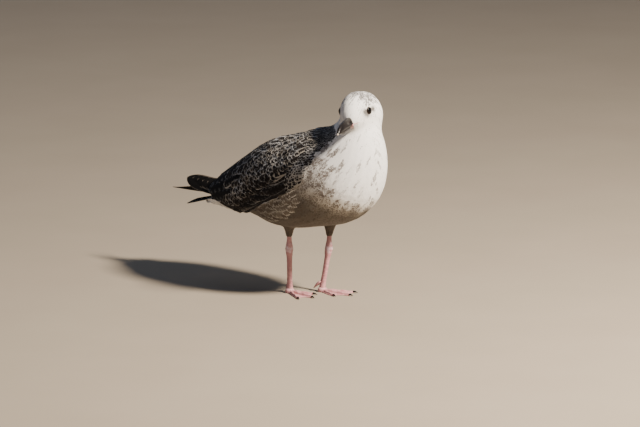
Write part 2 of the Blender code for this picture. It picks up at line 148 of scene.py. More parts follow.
def between(table: Sequence[Sequence[float]], value: float) -> Array:
    """The columns of a table read at a value of its first column."""
    rows = np.asarray(table, float)
    return np.array([np.interp(value, rows[:, 0], rows[:, k]) for k in range(1, rows.shape[1])])
def part_way(first: Array, second: Array, share: Array | float) -> Array:
    """Colours moved from the first towards the second, each row by its own share."""
    return first + (second - first) * np.asarray(share)[..., None]


@dataclass(frozen=True)
class SpinePlace:
    """Where points lie about the spine: along it, round it, how far out, and its direction."""

    share: Array
    angle: Array
    tangent: Array
    reach: Array
    travel: Array


def about_spine(points: Array, samples: int = 240, block: int = 20000) -> SpinePlace:
    """Places of points about the spine's curve.

    Args:
        points: Bird millimetres, one row each.
        samples: Number of places tried along the curve.
        block: Number of points compared at once.

    Returns:
        Share 0 at the rump to 1 at the crown, angle 0 on the back and positive to the left.
    """
    t = np.linspace(0.0, 1.0, samples)[:, None]
    a, b, c, d = SPINE
    curve = (1 - t) ** 3 * a + 3 * (1 - t) ** 2 * t * b + 3 * (1 - t) * t * t * c + t**3 * d
    slope = unit(3 * (1 - t) ** 2 * (b - a) + 6 * (1 - t) * t * (c - b) + 3 * t * t * (d - c))
    flat = points * (0.0, 1.0, 1.0)
    nearest = np.empty(len(points), int)
    for start in range(0, len(points), block):
        some = slice(start, start + block)
        away = ((flat[some, None, 1:] - curve[None, :, 1:]) ** 2).sum(2)
        nearest[some] = away.argmin(1)
    tangent = slope[nearest]
    dorsal = np.cross(tangent, (1.0, 0.0, 0.0))
    out = points - curve[nearest]
    angle = np.arctan2(out[:, 0], (out * dorsal).sum(1))
    run = np.concatenate([[0.0], np.cumsum(np.linalg.norm(np.diff(curve, axis=0), axis=1))])
    return SpinePlace(t[nearest, 0], angle, tangent, np.linalg.norm(out, axis=1), run[nearest])


def strokes(place: SpinePlace, wide: float, long: float, seed: int) -> Array:
    """Noise drawn out along the lie of the feathers, about -1 to 1."""
    girth = 0.35 * place.reach + 0.65 * USUAL_REACH
    flat = np.stack([place.angle * girth / wide, place.travel / long, np.zeros(len(girth))], axis=1)
    return ripple(flat, 1.0, seed)


def ripple(points: Array, size: float, seed: int, waves: int = 9) -> Array:
    """Smooth noise between about -1 and 1 with features of the given size in millimetres."""
    chance = np.random.default_rng(seed)
    total = np.zeros(len(points))
    for _ in range(waves):
        way = unit(chance.normal(size=3))
        reach = size * chance.uniform(0.7, 1.6)
        total += np.sin(points @ way * (math.tau / (2.0 * reach)) + chance.uniform(0.0, math.tau))
    return total / (0.4 * waves)


def linear(code: str) -> tuple[float, float, float, float]:
    """A hexadecimal colour as scene-linear red, green, blue and alpha."""
    parts = [int(code[i:i + 2], 16) / 255.0 for i in (0, 2, 4)]
    return (*[p / 12.92 if p <= 0.04045 else ((p + 0.055) / 1.055) ** 2.4 for p in parts], 1.0)


class Hue(Enum):
    """Named colours of the plumage and bare parts."""

    SNOW = "efeeec"
    CREAM = "e2dccf"
    ASH = "b9b2a6"
    STREAK = "5e5148"
    SMUDGE = "4d4843"
    FLECK = "45403c"
    BELLY = "7d7367"
    UMBER = "201b19"
    SLATE = "121317"
    FRINGE = "b4b6ba"
    BUFF = "a59b8b"
    SOOT = "131110"

    @property
    def rgb(self) -> Array:
        """Scene-linear colour."""
        return np.array(linear(self.value)[:3])


# ---------------------------------------------------------------- writing node trees

class TreeWriter:
    """Adds nodes to a shader or geometry tree and links them."""

    def __init__(self, tree: bpy.types.NodeTree) -> None:
        """Starts on a tree, emptied first."""
        self.tree = tree
        tree.nodes.clear()

    def add(self, kind: str, **settings: object) -> Node:
        """A new node with its settings."""
        node = self.tree.nodes.new(kind)
        for name, value in settings.items():
            setattr(node, name, value)
        return node

    @staticmethod
    def socket(sockets: Iterable[Socket], name: str | int) -> Socket:
        """The enabled socket of a name, or the one at a place."""
        if isinstance(name, int):
            return [s for s in sockets if s.enabled][name]
        return next(s for s in sockets if s.name == name and s.enabled)

    def feed(self, target: Socket, value: object) -> None:
        """Links another node's output to an input, or sets the input's own value."""
        if isinstance(value, Socket):
            self.tree.links.new(value, target)
        else:
            target.default_value = value

    def put(self, node: Node, name: str | int, value: object) -> None:
        """Feeds a node's input, found by its name or place."""
        self.feed(self.socket(node.inputs, name), value)

    def out(self, node: Node, name: str | int = 0) -> Socket:
        """An output of a node."""
        return self.socket(node.outputs, name)

    def make(
        self, kind: str, inputs: dict | None = None, output: str | int = 0, **settings: object
    ) -> Socket:
        """A node with its inputs fed.

        Args:
            kind: The node's type name.
            inputs: Sockets or values by input name.
            output: The output wanted.
            **settings: The node's own properties.

        Returns:
            The wanted output socket.
        """
        node = self.add(kind, **settings)
        for name, value in (inputs or {}).items():
            self.put(node, name, value)
        return self.out(node, output)

    def math(self, operation: str, a: object, b: object = 0.0, clamp: bool = False) -> Socket:
        """A Math node of two values."""
        node = self.add("ShaderNodeMath", operation=operation, use_clamp=clamp)
        self.feed(node.inputs[0], a)
        self.feed(node.inputs[1], b)
        return node.outputs[0]

    def plus(self, a: object, b: object) -> Socket:
        """The sum of two values."""
        return self.math("ADD", a, b)

    def less(self, a: object, b: object, clamp: bool = False) -> Socket:
        """The first value less the second."""
        return self.math("SUBTRACT", a, b, clamp)

    def times(self, a: object, b: object) -> Socket:
        """The product of two values."""
        return self.math("MULTIPLY", a, b)

    def ramp(self, value: object, low: float, high: float) -> Socket:
        """A soft step from 0 to 1 between two values."""
        ends = {"Value": value, "From Min": low, "From Max": high}
        return self.make("ShaderNodeMapRange", ends, interpolation_type="SMOOTHSTEP")

    def blend(self, share: object, first: object, second: object, mode: str = "MIX") -> Socket:
        """A colour mix."""
        node = self.add("ShaderNodeMix", data_type="RGBA", blend_type=mode)
        for place, value in ((0, share), (6, first), (7, second)):
            self.feed(node.inputs[place], value)
        return node.outputs[2]

    def attribute(self, name: str, output: str) -> Socket:
        """An attribute of the mesh, as a Color, a Vector or a Fac."""
        return self.make("ShaderNodeAttribute", output=output, attribute_name=name)

    def parts(self, vector: Socket) -> tuple[Socket, ...]:
        """The three parts of a vector."""
        node = self.add("ShaderNodeSeparateXYZ")
        self.put(node, 0, vector)
        return tuple(node.outputs)

    def grain(self, scale: float) -> Socket:
        """Noise on the object's own coordinates, 0 to 1."""
        place = self.make("ShaderNodeTexCoord", output="Object")
        return self.make("ShaderNodeTexNoise", {"Vector": place, "Scale": scale, "Detail": 3.0})

    def relief(self, shader: Node, height: Socket, strength: float, distance: float) -> None:
        """Gives a shader the bumps of a height, its distance in metres."""
        bump = {"Strength": strength, "Distance": distance, "Height": height}
        self.put(shader, "Normal", self.make("ShaderNodeBump", bump))


# ---------------------------------------------------------------- finishes

@dataclass(frozen=True)
class Finish:
    """A named material made of nodes, and the slot of the pieces that wear it."""

    name: str
    slot: str = ""
    roughness: float = 0.6

    def build(self) -> bpy.types.Material:
        """The material, made once."""
        made = bpy.data.materials.get(self.name)
        if made is None:
            made = bpy.data.materials.new(self.name)
            made.use_nodes = True
            nodes = TreeWriter(made.node_tree)
            shader = nodes.add("ShaderNodeBsdfPrincipled")
            nodes.put(shader, "Roughness", self.roughness)
            self.fill(nodes, shader)
            end = nodes.add("ShaderNodeOutputMaterial")
            nodes.put(end, "Surface", shader.outputs[0])
        return made

    def fill(self, nodes: TreeWriter, shader: Node) -> None:
        """Feeds the shader."""
        raise NotImplementedError


@dataclass(frozen=True)
class Plumage(Finish):
    """Feathers: two colours laid out on each vane by its shaft streak, fringe and notches."""

    sheen: float = 0.10
    gloss: float = 0.25
    barbs: float = 270.0
    relief: float = 0.00012
    vane: bool = True

    def fill(self, nodes: TreeWriter, shader: Node) -> None:
        """Mixes ground and mark colour across each vane, or over the plain skin."""
        nodes.put(shader, "Sheen Weight", self.sheen)
        nodes.put(shader, "Sheen Roughness", 0.5)
        nodes.put(shader, "Specular IOR Level", self.gloss)
        ground, mark = nodes.attribute("Ground", "Color"), nodes.attribute("Mark", "Color")
        grain = nodes.grain(900.0)
        rough = nodes.less(grain, 0.5)
        if self.vane:
            place = nodes.parts(nodes.make("ShaderNodeUVMap", uv_map="Vane"))
            aside = nodes.math("ABSOLUTE", nodes.less(nodes.times(place[0], 2.0), 1.0))
            tint = nodes.blend(self.pattern(nodes, aside, place[1], rough), ground, mark)
            shade = nodes.plus(0.86, nodes.times(grain, 0.28))
            grey = nodes.make("ShaderNodeCombineXYZ", {0: shade, 1: shade, 2: shade})
            nodes.put(shader, "Base Color", nodes.blend(1.0, tint, grey, "MULTIPLY"))
            nodes.relief(shader, self.barbs_and_shaft(nodes, aside, place[1]), 0.6, self.relief)
        else:
            streak = nodes.parts(nodes.attribute("Layout", "Vector"))[0]
            mask = nodes.ramp(nodes.plus(streak, nodes.times(rough, 1.6)), 0.35, 0.65)
            nodes.put(shader, "Base Color", nodes.blend(mask, ground, mark))
            nodes.relief(shader, grain, 0.5, 0.0004)

    def pattern(self, nodes: TreeWriter, aside: Socket, along: Socket, rough: Socket) -> Socket:
        """Where the mark colour shows on a vane.

        Args:
            nodes: The material's tree.
            aside: 0 on the shaft, 1 on the edge.
            along: 0 at the root, 1 at the tip.
            rough: Noise round 0.

        Returns:
            1 inside the streak or the dark field, 0 outside.
        """
        streak, fringe, notch = nodes.parts(nodes.attribute("Layout", "Vector"))
        # a drop-shaped streak on the shaft that stops short of the tip
        swell = nodes.plus(0.35, nodes.times(nodes.ramp(along, 0.2, 0.8), 0.65))
        inside = nodes.plus(nodes.less(nodes.times(streak, swell), aside), nodes.times(rough, 0.35))
        drop = nodes.times(nodes.ramp(inside, -0.08, 0.08), nodes.ramp(along, 0.99, 0.9))
        drop = nodes.times(drop, nodes.ramp(streak, 0.02, 0.06))
        # a dark field inside a pale fringe
        rim = nodes.math("MINIMUM", nodes.times(nodes.less(1.0, aside), 0.32), nodes.less(1.0, along))
        rim = nodes.plus(rim, nodes.times(rough, 0.05))
        field_mask = nodes.ramp(nodes.less(rim, fringe), -0.012, 0.012)
        # pale notches that run in from the edge towards the shaft
        turns = nodes.times(nodes.plus(along, nodes.times(aside, 0.12)), 34.0)
        wave = nodes.math("SINE", nodes.plus(turns, nodes.times(rough, 7.0)))
        bite = nodes.times(nodes.ramp(wave, 0.15, 0.6), nodes.ramp(nodes.plus(aside, rough), 0.25, 0.5))
        kept = nodes.less(1.0, nodes.times(bite, notch), clamp=True)
        return nodes.math("MAXIMUM", drop, nodes.times(field_mask, kept))

    def barbs_and_shaft(self, nodes: TreeWriter, aside: Socket, along: Socket) -> Socket:
        """Height of the slanting barbs and the raised shaft."""
        slant = nodes.less(along, nodes.times(aside, 0.3))
        barb = nodes.math("SINE", nodes.times(slant, self.barbs))
        shaft = nodes.ramp(aside, 0.1, 0.02)
        return nodes.plus(nodes.times(barb, 0.4), nodes.times(shaft, 1.5))


@dataclass(frozen=True)
class Horn(Finish):
    """Bill and claw horn: blackish, with fine growth lines."""

    roughness: float = 0.33
    pale_root: bool = True

    def fill(self, nodes: TreeWriter, shader: Node) -> None:
        """Dark horn, on the bill with a paler root and tip and a fleshy gape."""
        nodes.put(shader, "Specular IOR Level", 0.35)
        nodes.put(shader, "Coat Weight", 0.0)
        nodes.put(shader, "Coat Roughness", 0.2)
        grain = nodes.grain(420.0)
        tint = nodes.blend(nodes.ramp(grain, 0.3, 0.7), linear("080606"), linear("171211"))
        if self.pale_root:
            root, tip, gape = nodes.parts(nodes.attribute("Layout", "Vector"))
            rough = nodes.times(nodes.less(grain, 0.5), 0.35)
            tint = nodes.blend(nodes.ramp(nodes.plus(root, rough), 0.35, 0.7), tint, linear("5f4641"))
            tint = nodes.blend(nodes.ramp(nodes.plus(tip, rough), 0.4, 0.7), tint, linear("cdbfae"))
            tint = nodes.blend(nodes.ramp(gape, 0.4, 0.6), tint, linear("b97f78"))
        nodes.put(shader, "Base Color", tint)
        nodes.relief(shader, nodes.grain(1400.0), 0.35, 0.0002)


@dataclass(frozen=True)
class EyeGloss(Finish):
    """A wet dark brown eye with a black pupil."""

    roughness: float = 0.08

    def fill(self, nodes: TreeWriter, shader: Node) -> None:
        """Pupil and iris by distance from the eye's own axis, under a clear coat."""
        nodes.put(shader, "Specular IOR Level", 0.15)
        nodes.put(shader, "Coat Weight", 0.15)
        nodes.put(shader, "Coat Roughness", 0.03)
        share = nodes.attribute("Iris", "Fac")
        grain = nodes.grain(2600.0)
        ring = nodes.ramp(nodes.plus(share, nodes.times(nodes.less(grain, 0.5), 0.05)), 0.30, 0.36)
        iris = nodes.blend(grain, linear("100a07"), linear("20140c"))
        tint = nodes.blend(ring, linear("050404"), iris)
        white = nodes.ramp(share, 0.62, 0.72)
        nodes.put(shader, "Base Color", nodes.blend(white, tint, linear("120c09")))


@dataclass(frozen=True)
class LegSkin(Finish):
    """Pink leg skin, mealy on the joints and paler on the heel partly as a painted highlight, with fine scale
    relief between the modelled scutes.
    """

    roughness: float = 0.45

    def fill(self, nodes: TreeWriter, shader: Node) -> None:
        """Pink varied by noise, paler on mealy high places and on the heel's painted highlight, with cells as
        relief.
        """
        nodes.put(shader, "Specular IOR Level", 0.5)
        nodes.put(shader, "Subsurface Weight", 0.0)
        fine = nodes.grain(1500.0)
        tint = nodes.blend(nodes.ramp(nodes.grain(220.0), 0.3, 0.7), linear("ad787d"), linear("c49494"))
        worn = nodes.plus(nodes.attribute("Worn", "Fac"), nodes.times(nodes.less(fine, 0.5), 0.6))
        tint = nodes.blend(nodes.ramp(worn, 0.35, 0.75), tint, linear("d9c3cb"))
        tint = nodes.blend(nodes.ramp(fine, 0.62, 0.8), tint, linear("8d5a60"))
        nodes.put(shader, "Base Color", tint)
        place = nodes.make("ShaderNodeTexCoord", output="Object")
        cells = nodes.make("ShaderNodeTexVoronoi", {"Vector": place, "Scale": 650.0}, "Distance")
        nodes.relief(shader, cells, 0.4, 0.0003)


@dataclass(frozen=True)
class LidSkin(Finish):
    """The bare dark rim of an eyelid."""

    roughness: float = 0.5

    def fill(self, nodes: TreeWriter, shader: Node) -> None:
        """Dark grey-brown with fine beading."""
        grain = nodes.grain(1800.0)
        nodes.put(shader, "Base Color", nodes.blend(grain, linear("15110f"), linear("2e2723")))
        nodes.relief(shader, grain, 0.4, 0.0002)


@dataclass(frozen=True)
class FloorPaint(Finish):
    """A plain floor."""

    roughness: float = 0.9

    def fill(self, nodes: TreeWriter, shader: Node) -> None:
        """Nearly even sandy grey."""
        sand = nodes.blend(nodes.grain(6.0), linear("8f8474"), linear("978c7c"))
        nodes.put(shader, "Base Color", sand)


WHITE_PLUMAGE = Plumage("white_feathers", "white_plumage", 0.85)
STREAKED_PLUMAGE = Plumage("streaked_feathers", "streaked_plumage", 0.85)
MOTTLED_PLUMAGE = Plumage("mottled_feathers", "mottled_plumage", 0.82, 0.0, 0.12, relief=0.00018)
DARK_QUILLS = Plumage("quill_feathers", "dark_quills", 0.88, 0.0, 0.08, barbs=480.0, relief=0.0002)
UNDERCOAT = Plumage("undercoat", "white_plumage", 0.95, vane=False)
BILL_HORN = Horn("bill_horn", "horn")
CLAW_HORN = Horn("claw_horn", "horn", pale_root=False)
EYE_GLOSS = EyeGloss("eye_gloss", "eye")
LEG_SKIN = LegSkin("leg_scales", "leg_skin")
LID_SKIN = LidSkin("lid_skin", "eye")
MOUTH_SKIN = LegSkin("mouth_skin", "leg_skin", 0.35)
FLOOR_PAINT = FloorPaint("floor_paint")


# ---------------------------------------------------------------- meshes

def linked(name: str, mesh: Mesh, finish: Finish | None = None) -> Thing:
    """An object for a mesh, in the scene, with its finish."""
    thing = bpy.data.objects.new(name, mesh)
    bpy.context.scene.collection.objects.link(thing)
    if finish is not None:
        mesh.materials.clear()
        mesh.materials.append(finish.build())
    return thing


def on_bird(thing: Thing, finish: Finish, *nodes: str) -> Thing:
    """Lets a piece ride on the bird and hides the CAD nodes it stands for."""
    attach(thing, "root")
    if nodes:
        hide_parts(*nodes)
    LOG.info("%s: %d triangles", thing.name, sum(len(p.vertices) - 2 for p in thing.data.polygons))
    return thing


def piece(name: str, mesh: Mesh, finish: Finish, *nodes: str) -> Thing:
    """A mesh as a piece on the bird."""
    return on_bird(linked(name, mesh, finish), finish, *nodes)


def mesh_of(name: str, points: Array, faces: Sequence[Sequence[int]]) -> Mesh:
    """A mesh from its vertices in bird millimetres and its faces."""
    mesh = bpy.data.meshes.new(name)
    mesh.from_pydata(world(points).tolist(), [], faces)
    return mesh


def plain_mesh(thing: Thing) -> Mesh:
    """Puts the mesh that a thing's modifiers make in its place, and takes them off."""
    made = thing.evaluated_get(bpy.context.evaluated_depsgraph_get())
    mesh = bpy.data.meshes.new_from_object(made)
    thing.modifiers.clear()
    thing.data = mesh
    return mesh


def shade_smooth(mesh: Mesh) -> None:
    """Shades every face smooth."""
    mesh.polygons.foreach_set("use_smooth", np.ones(len(mesh.polygons), bool))


def face_outwards(mesh: Mesh) -> None:
    """Turns the faces of closed skins outwards and shades them smooth."""
    shell = bmesh.new()
    shell.from_mesh(mesh)
    bmesh.ops.recalc_face_normals(shell, faces=shell.faces)
    shell.to_mesh(mesh)
    shell.free()
    shade_smooth(mesh)


def merged(node: Thing, swell: float = 0.0) -> bmesh.types.BMesh:
    """A closed copy of a CAD node, its loose triangles merged, swollen by some millimetres."""
    shell = bmesh.new()
    shell.from_mesh(node.data)
    bmesh.ops.remove_doubles(shell, verts=shell.verts, dist=1e-6)
    shell.normal_update()
    moves = [v.normal * (swell * MM) for v in shell.verts]
    for vertex, move in zip(shell.verts, moves):
        vertex.co += move
    return shell


def put_attribute(mesh: Mesh, name: str, kind: str, values: Array) -> None:
    """Writes a point attribute."""
    layer = mesh.attributes.get(name) or mesh.attributes.new(name, kind, "POINT")
    key = {"FLOAT": "value", "FLOAT_VECTOR": "vector", "FLOAT_COLOR": "color"}[kind]
    layer.data.foreach_set(key, np.ascontiguousarray(values, np.float32).ravel())


def rows_of(items: bpy.types.bpy_prop_collection, key: str, width: int, kind: type = np.float32) -> Array:
    """One value, or a row of a width, for each item of a mesh's list."""
    values = np.empty(len(items) * width, kind)
    items.foreach_get(key, values)
    return values.reshape(-1, width) if width > 1 else values


def read_attribute(mesh: Mesh, name: str, width: int) -> Array:
    """Reads a point attribute."""
    return rows_of(mesh.attributes[name].data, "value" if width == 1 else "vector", width)


def points_of(mesh: Mesh) -> Array:
    """Vertex places of a mesh, in bird millimetres."""
    return bird(rows_of(mesh.vertices, "co", 3))


def move_points(mesh: Mesh, points: Array) -> None:
    """Moves the vertices of a mesh to places in bird millimetres."""
    mesh.vertices.foreach_set("co", world(points).astype(np.float32).ravel())


def normals_of(mesh: Mesh) -> Array:
    """Smooth normals at the vertices of a mesh."""
    return rows_of(mesh.vertex_normals, "vector", 3).astype(float)


def corner_vertices(mesh: Mesh) -> Array:
    """The vertex of each face corner."""
    return rows_of(mesh.loops, "vertex_index", 1, np.int32)


def put_map(mesh: Mesh, name: str, values: Array) -> None:
    """Writes a UV map from one row per face corner."""
    layer = mesh.uv_layers.get(name) or mesh.uv_layers.new(name=name)
    layer.data.foreach_set("uv", np.ascontiguousarray(values, np.float32).ravel())


class Surface:
    """A mesh that feathers can be laid over: nearest places, outermost places and normals."""

    def __init__(self, mesh: Mesh) -> None:
        """Keeps the points, smooth normals and a search tree of a mesh."""
        self.points = points_of(mesh)
        self.normals = normals_of(mesh)
        self.faces = [tuple(p.vertices) for p in mesh.polygons]
        self.tree = BVHTree.FromPolygons(self.points.tolist(), self.faces)

    def _normal(self, place: Array, face: int) -> Array:
        """The smooth normal near a place on a face."""
        corners = list(self.faces[face])
        weight = 1.0 / (np.linalg.norm(self.points[corners] - place, axis=1) + 0.05)
        return unit((self.normals[corners] * weight[:, None]).sum(0))

    def nearest(self, point: Array) -> tuple[Array, Array]:
        """The nearest place on the surface and its normal."""
        place, _, face, _ = self.tree.find_nearest(Vector(point))
        place = np.array(place)
        return place, self._normal(place, face)

    def outermost(self, start: Array, way: Array, far: float = 170.0) -> tuple[Array, Array] | None:
        """The last place where a ray from start leaves the surface, with its normal, or None."""
        way = unit(np.asarray(way, float))
        hit, _, face, _ = self.tree.ray_cast(Vector(start + way * far), Vector(-way))
        if hit is None:
            return None
        place = np.array(hit)
        return place, self._normal(place, face)


def relaxed(points: Array, edges: Array, rounds: int) -> Array:
    """Points smoothed without shrinking, by alternate inward and outward steps."""
    inward, outward = 0.55, -0.57
    count = np.bincount(edges.ravel(), minlength=len(points))[:, None]
    moved = points.copy()
    for step in range(rounds * 2):
        total = np.stack([
            np.bincount(edges[:, 0], moved[edges[:, 1], k], len(points))
            + np.bincount(edges[:, 1], moved[edges[:, 0], k], len(points))
            for k in range(3)
        ], axis=1)
        moved = moved + (outward if step % 2 else inward) * (total / count - moved)
    return moved


def off_axis(out: Array, axis: Array) -> tuple[Array, Array]:
    """How far places lie beside an axis and how far along it, all from one centre."""
    high = out @ axis
    return np.linalg.norm(out - high[:, None] * axis, axis=1), high


@dataclass
class EyePlace:
    """Where an eye sits: its centre, its outward axis and its opening."""

    centre: Array
    axis: Array
    radius: float = 7.2
    opening: float = 5.15
    sunk: float = 5.3

    @classmethod
    def of(cls, side: float, outline: Array) -> "EyePlace":
        """The eye on the left, side 1, or the right, side -1, facing as the head's side does there."""
        low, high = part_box("eye_left" if side > 0 else "eye_right")
        centre = (bird(np.array(low)) + bird(np.array(high))) / 2.0
        axis = unit(HEAD_AXES @ np.array([side, -0.1, 0.05]))
        out = outline - centre
        near = outline[(np.linalg.norm(out, axis=1) < 11.0) & (out @ axis > 2.0)]
        _, _, flat = np.linalg.svd(near - near.mean(0))
        facing = unit(flat[2] * np.sign(flat[2] @ axis))
        aside, high = off_axis(near - centre, facing)
        return cls(centre + facing * (high[aside < 3.5].mean() - cls.sunk), facing)

    def off_axis(self, points: Array) -> tuple[Array, Array]:
        """Distances from the eye's axis line, and heights along it."""
        return off_axis(points - self.centre, self.axis)


@dataclass
class Body:
    """The bird's skin, and the outline that the tips of its coat keep to."""

    voxel: float = 1.8
    rounds: int = 26
    swell: float = 0.35
    shrink: float = 0.9
    lid: float = 0.35
    flesh: tuple[str, ...] = ("trunk", "neck", "head", "thigh_left", "thigh_right", "wing_left", "wing_right")
    eyes: list[EyePlace] = field(default_factory=list)
    labels: Array = field(default_factory=lambda: np.zeros(0, int))

    def outline(self, nodes: dict[str, Thing]) -> Thing:
        """One closed smooth mesh round all the flesh, with its eye sockets filled."""
        whole = bpy.data.meshes.new("outline")
        shell = bmesh.new()
        for name in (*self.flesh, "eye_left", "eye_right"):
            part = merged(nodes[name], self.swell if name in self.flesh else -self.shrink)
            holder = bpy.data.meshes.new("part")
            part.to_mesh(holder)
            part.free()
            shell.from_mesh(holder)
            bpy.data.meshes.remove(holder)
        shell.to_mesh(whole)
        shell.free()
        thing = linked("outline", whole)
        remesh = thing.modifiers.new("Remesh", "REMESH")
        remesh.mode = "VOXEL"
        remesh.voxel_size = self.voxel * MM
        even = plain_mesh(thing)
        smooth = relaxed(points_of(even), rows_of(even.edges, "vertices", 2, np.int32), self.rounds)
        move_points(even, smooth)
        even.update()
        self.eyes = [EyePlace.of(1.0, smooth), EyePlace.of(-1.0, smooth)]
        self.labels = self.name_regions(nodes, smooth)
        return thing

    def name_regions(self, nodes: dict[str, Thing], points: Array) -> Array:
        """The place in flesh of the CAD node that each point is nearest to."""
        best = np.full(len(points), 1e9)
        label = np.zeros(len(points), int)
        for k, name in enumerate(self.flesh):
            part = merged(nodes[name])
            tree = BVHTree.FromBMesh(part)
            for i, p in enumerate(world(points)):
                found = tree.find_nearest(Vector(p), best[i])
                if found[0] is not None and found[3] < best[i]:
                    best[i], label[i] = found[3], k
            part.free()
        return label

    def is_wing(self) -> Array:
        """True at the points of the folded wings."""
        return self.labels >= self.flesh.index("wing_left")

    def dress(self, outline: Thing, markings: "Markings") -> Thing:
        """The skin under the coat, sunk by the coat's depth and closed round the eyeballs."""
        mesh = outline.data.copy()
        mesh.name = "skin"
        points = points_of(mesh)
        depth = coat_depth(points) + 0.25
        sunk = points - normals_of(mesh) * depth[:, None]
        for eye in self.eyes:
            aside, high = eye.off_axis(sunk)
            near = (high > 0.0) & (aside < eye.opening + 3.0)
            out = sunk - eye.centre
            far = np.linalg.norm(out, axis=1)
            behind = near & (aside < eye.opening)
            sunk[behind] = eye.centre + out[behind] / far[behind, None] * (eye.radius * 0.8)
            round_it = near & ~behind & (far < eye.radius + self.lid)
            sunk[round_it] = eye.centre + out[round_it] / far[round_it, None] * (eye.radius + self.lid)
        move_points(mesh, sunk)
        mesh.update()
        looks = markings.read(points, self.is_wing(), np.full(len(points), 0.5), undercoat=True)
        looks.write(mesh, np.arange(len(points)))
        shade_smooth(mesh)
        return piece("skin", mesh, UNDERCOAT, *self.flesh)


def coat_span(points: Array) -> Array:
    """Length of the body feathers, shortest at the bill and longest on the trunk."""
    return between(FEATHER_SPANS, np.linalg.norm(points - in_head(*BILL_ROOT), axis=1))[0]


def coat_depth(points: Array) -> Array:
    """How far the skin lies under the coat's outline."""
    return np.minimum(0.10 * coat_span(points), 1.4)


def lie_of_coat(points: Array, wing: Array) -> Array:
    """Direction in which the feathers point: away from the bill, then back along the spine."""
    x, y, z = points.T[:, :, None]
    out = points - in_head(*BILL_ROOT)
    share = smoothstep(30.0, 62.0, np.linalg.norm(out, axis=1, keepdims=True))
    flow = unit(out) * (1.0 - share) - about_spine(points).tangent * share
    # down beside the breast, down the thighs, and back over the wings
    beside = smoothstep(-80.0, -50.0, y) * smoothstep(60.0, 30.0, y)
    beside = beside * smoothstep(118.0, 150.0, z) * smoothstep(20.0, 45.0, np.abs(x))
    flow = unit(flow + np.array([0.0, 0.0, -0.6]) * beside)
    low = smoothstep(112.0, 88.0, z) * (np.abs(y) < 70.0)
    flow = flow * (1.0 - low) + np.array([0.0, 0.25, -1.0]) * low
    return unit(np.where(wing[:, None], unit(np.array([0.0, 1.0, -0.22])), flow))


# ---------------------------------------------------------------- markings

@dataclass
class Looks:
    """Colours and layout of the markings, one row for each feather or skin point."""

    ground: Array
    mark: Array
    layout: Array

    def write(self, mesh: Mesh, which: Array) -> None:
        """Writes them to a mesh whose vertices each take one of the rows."""
        ones = np.ones((len(which), 1))
        put_attribute(mesh, "Ground", "FLOAT_COLOR", np.hstack([self.ground[which], ones]))
        put_attribute(mesh, "Mark", "FLOAT_COLOR", np.hstack([self.mark[which], ones]))
        put_attribute(mesh, "Layout", "FLOAT_VECTOR", self.layout[which])


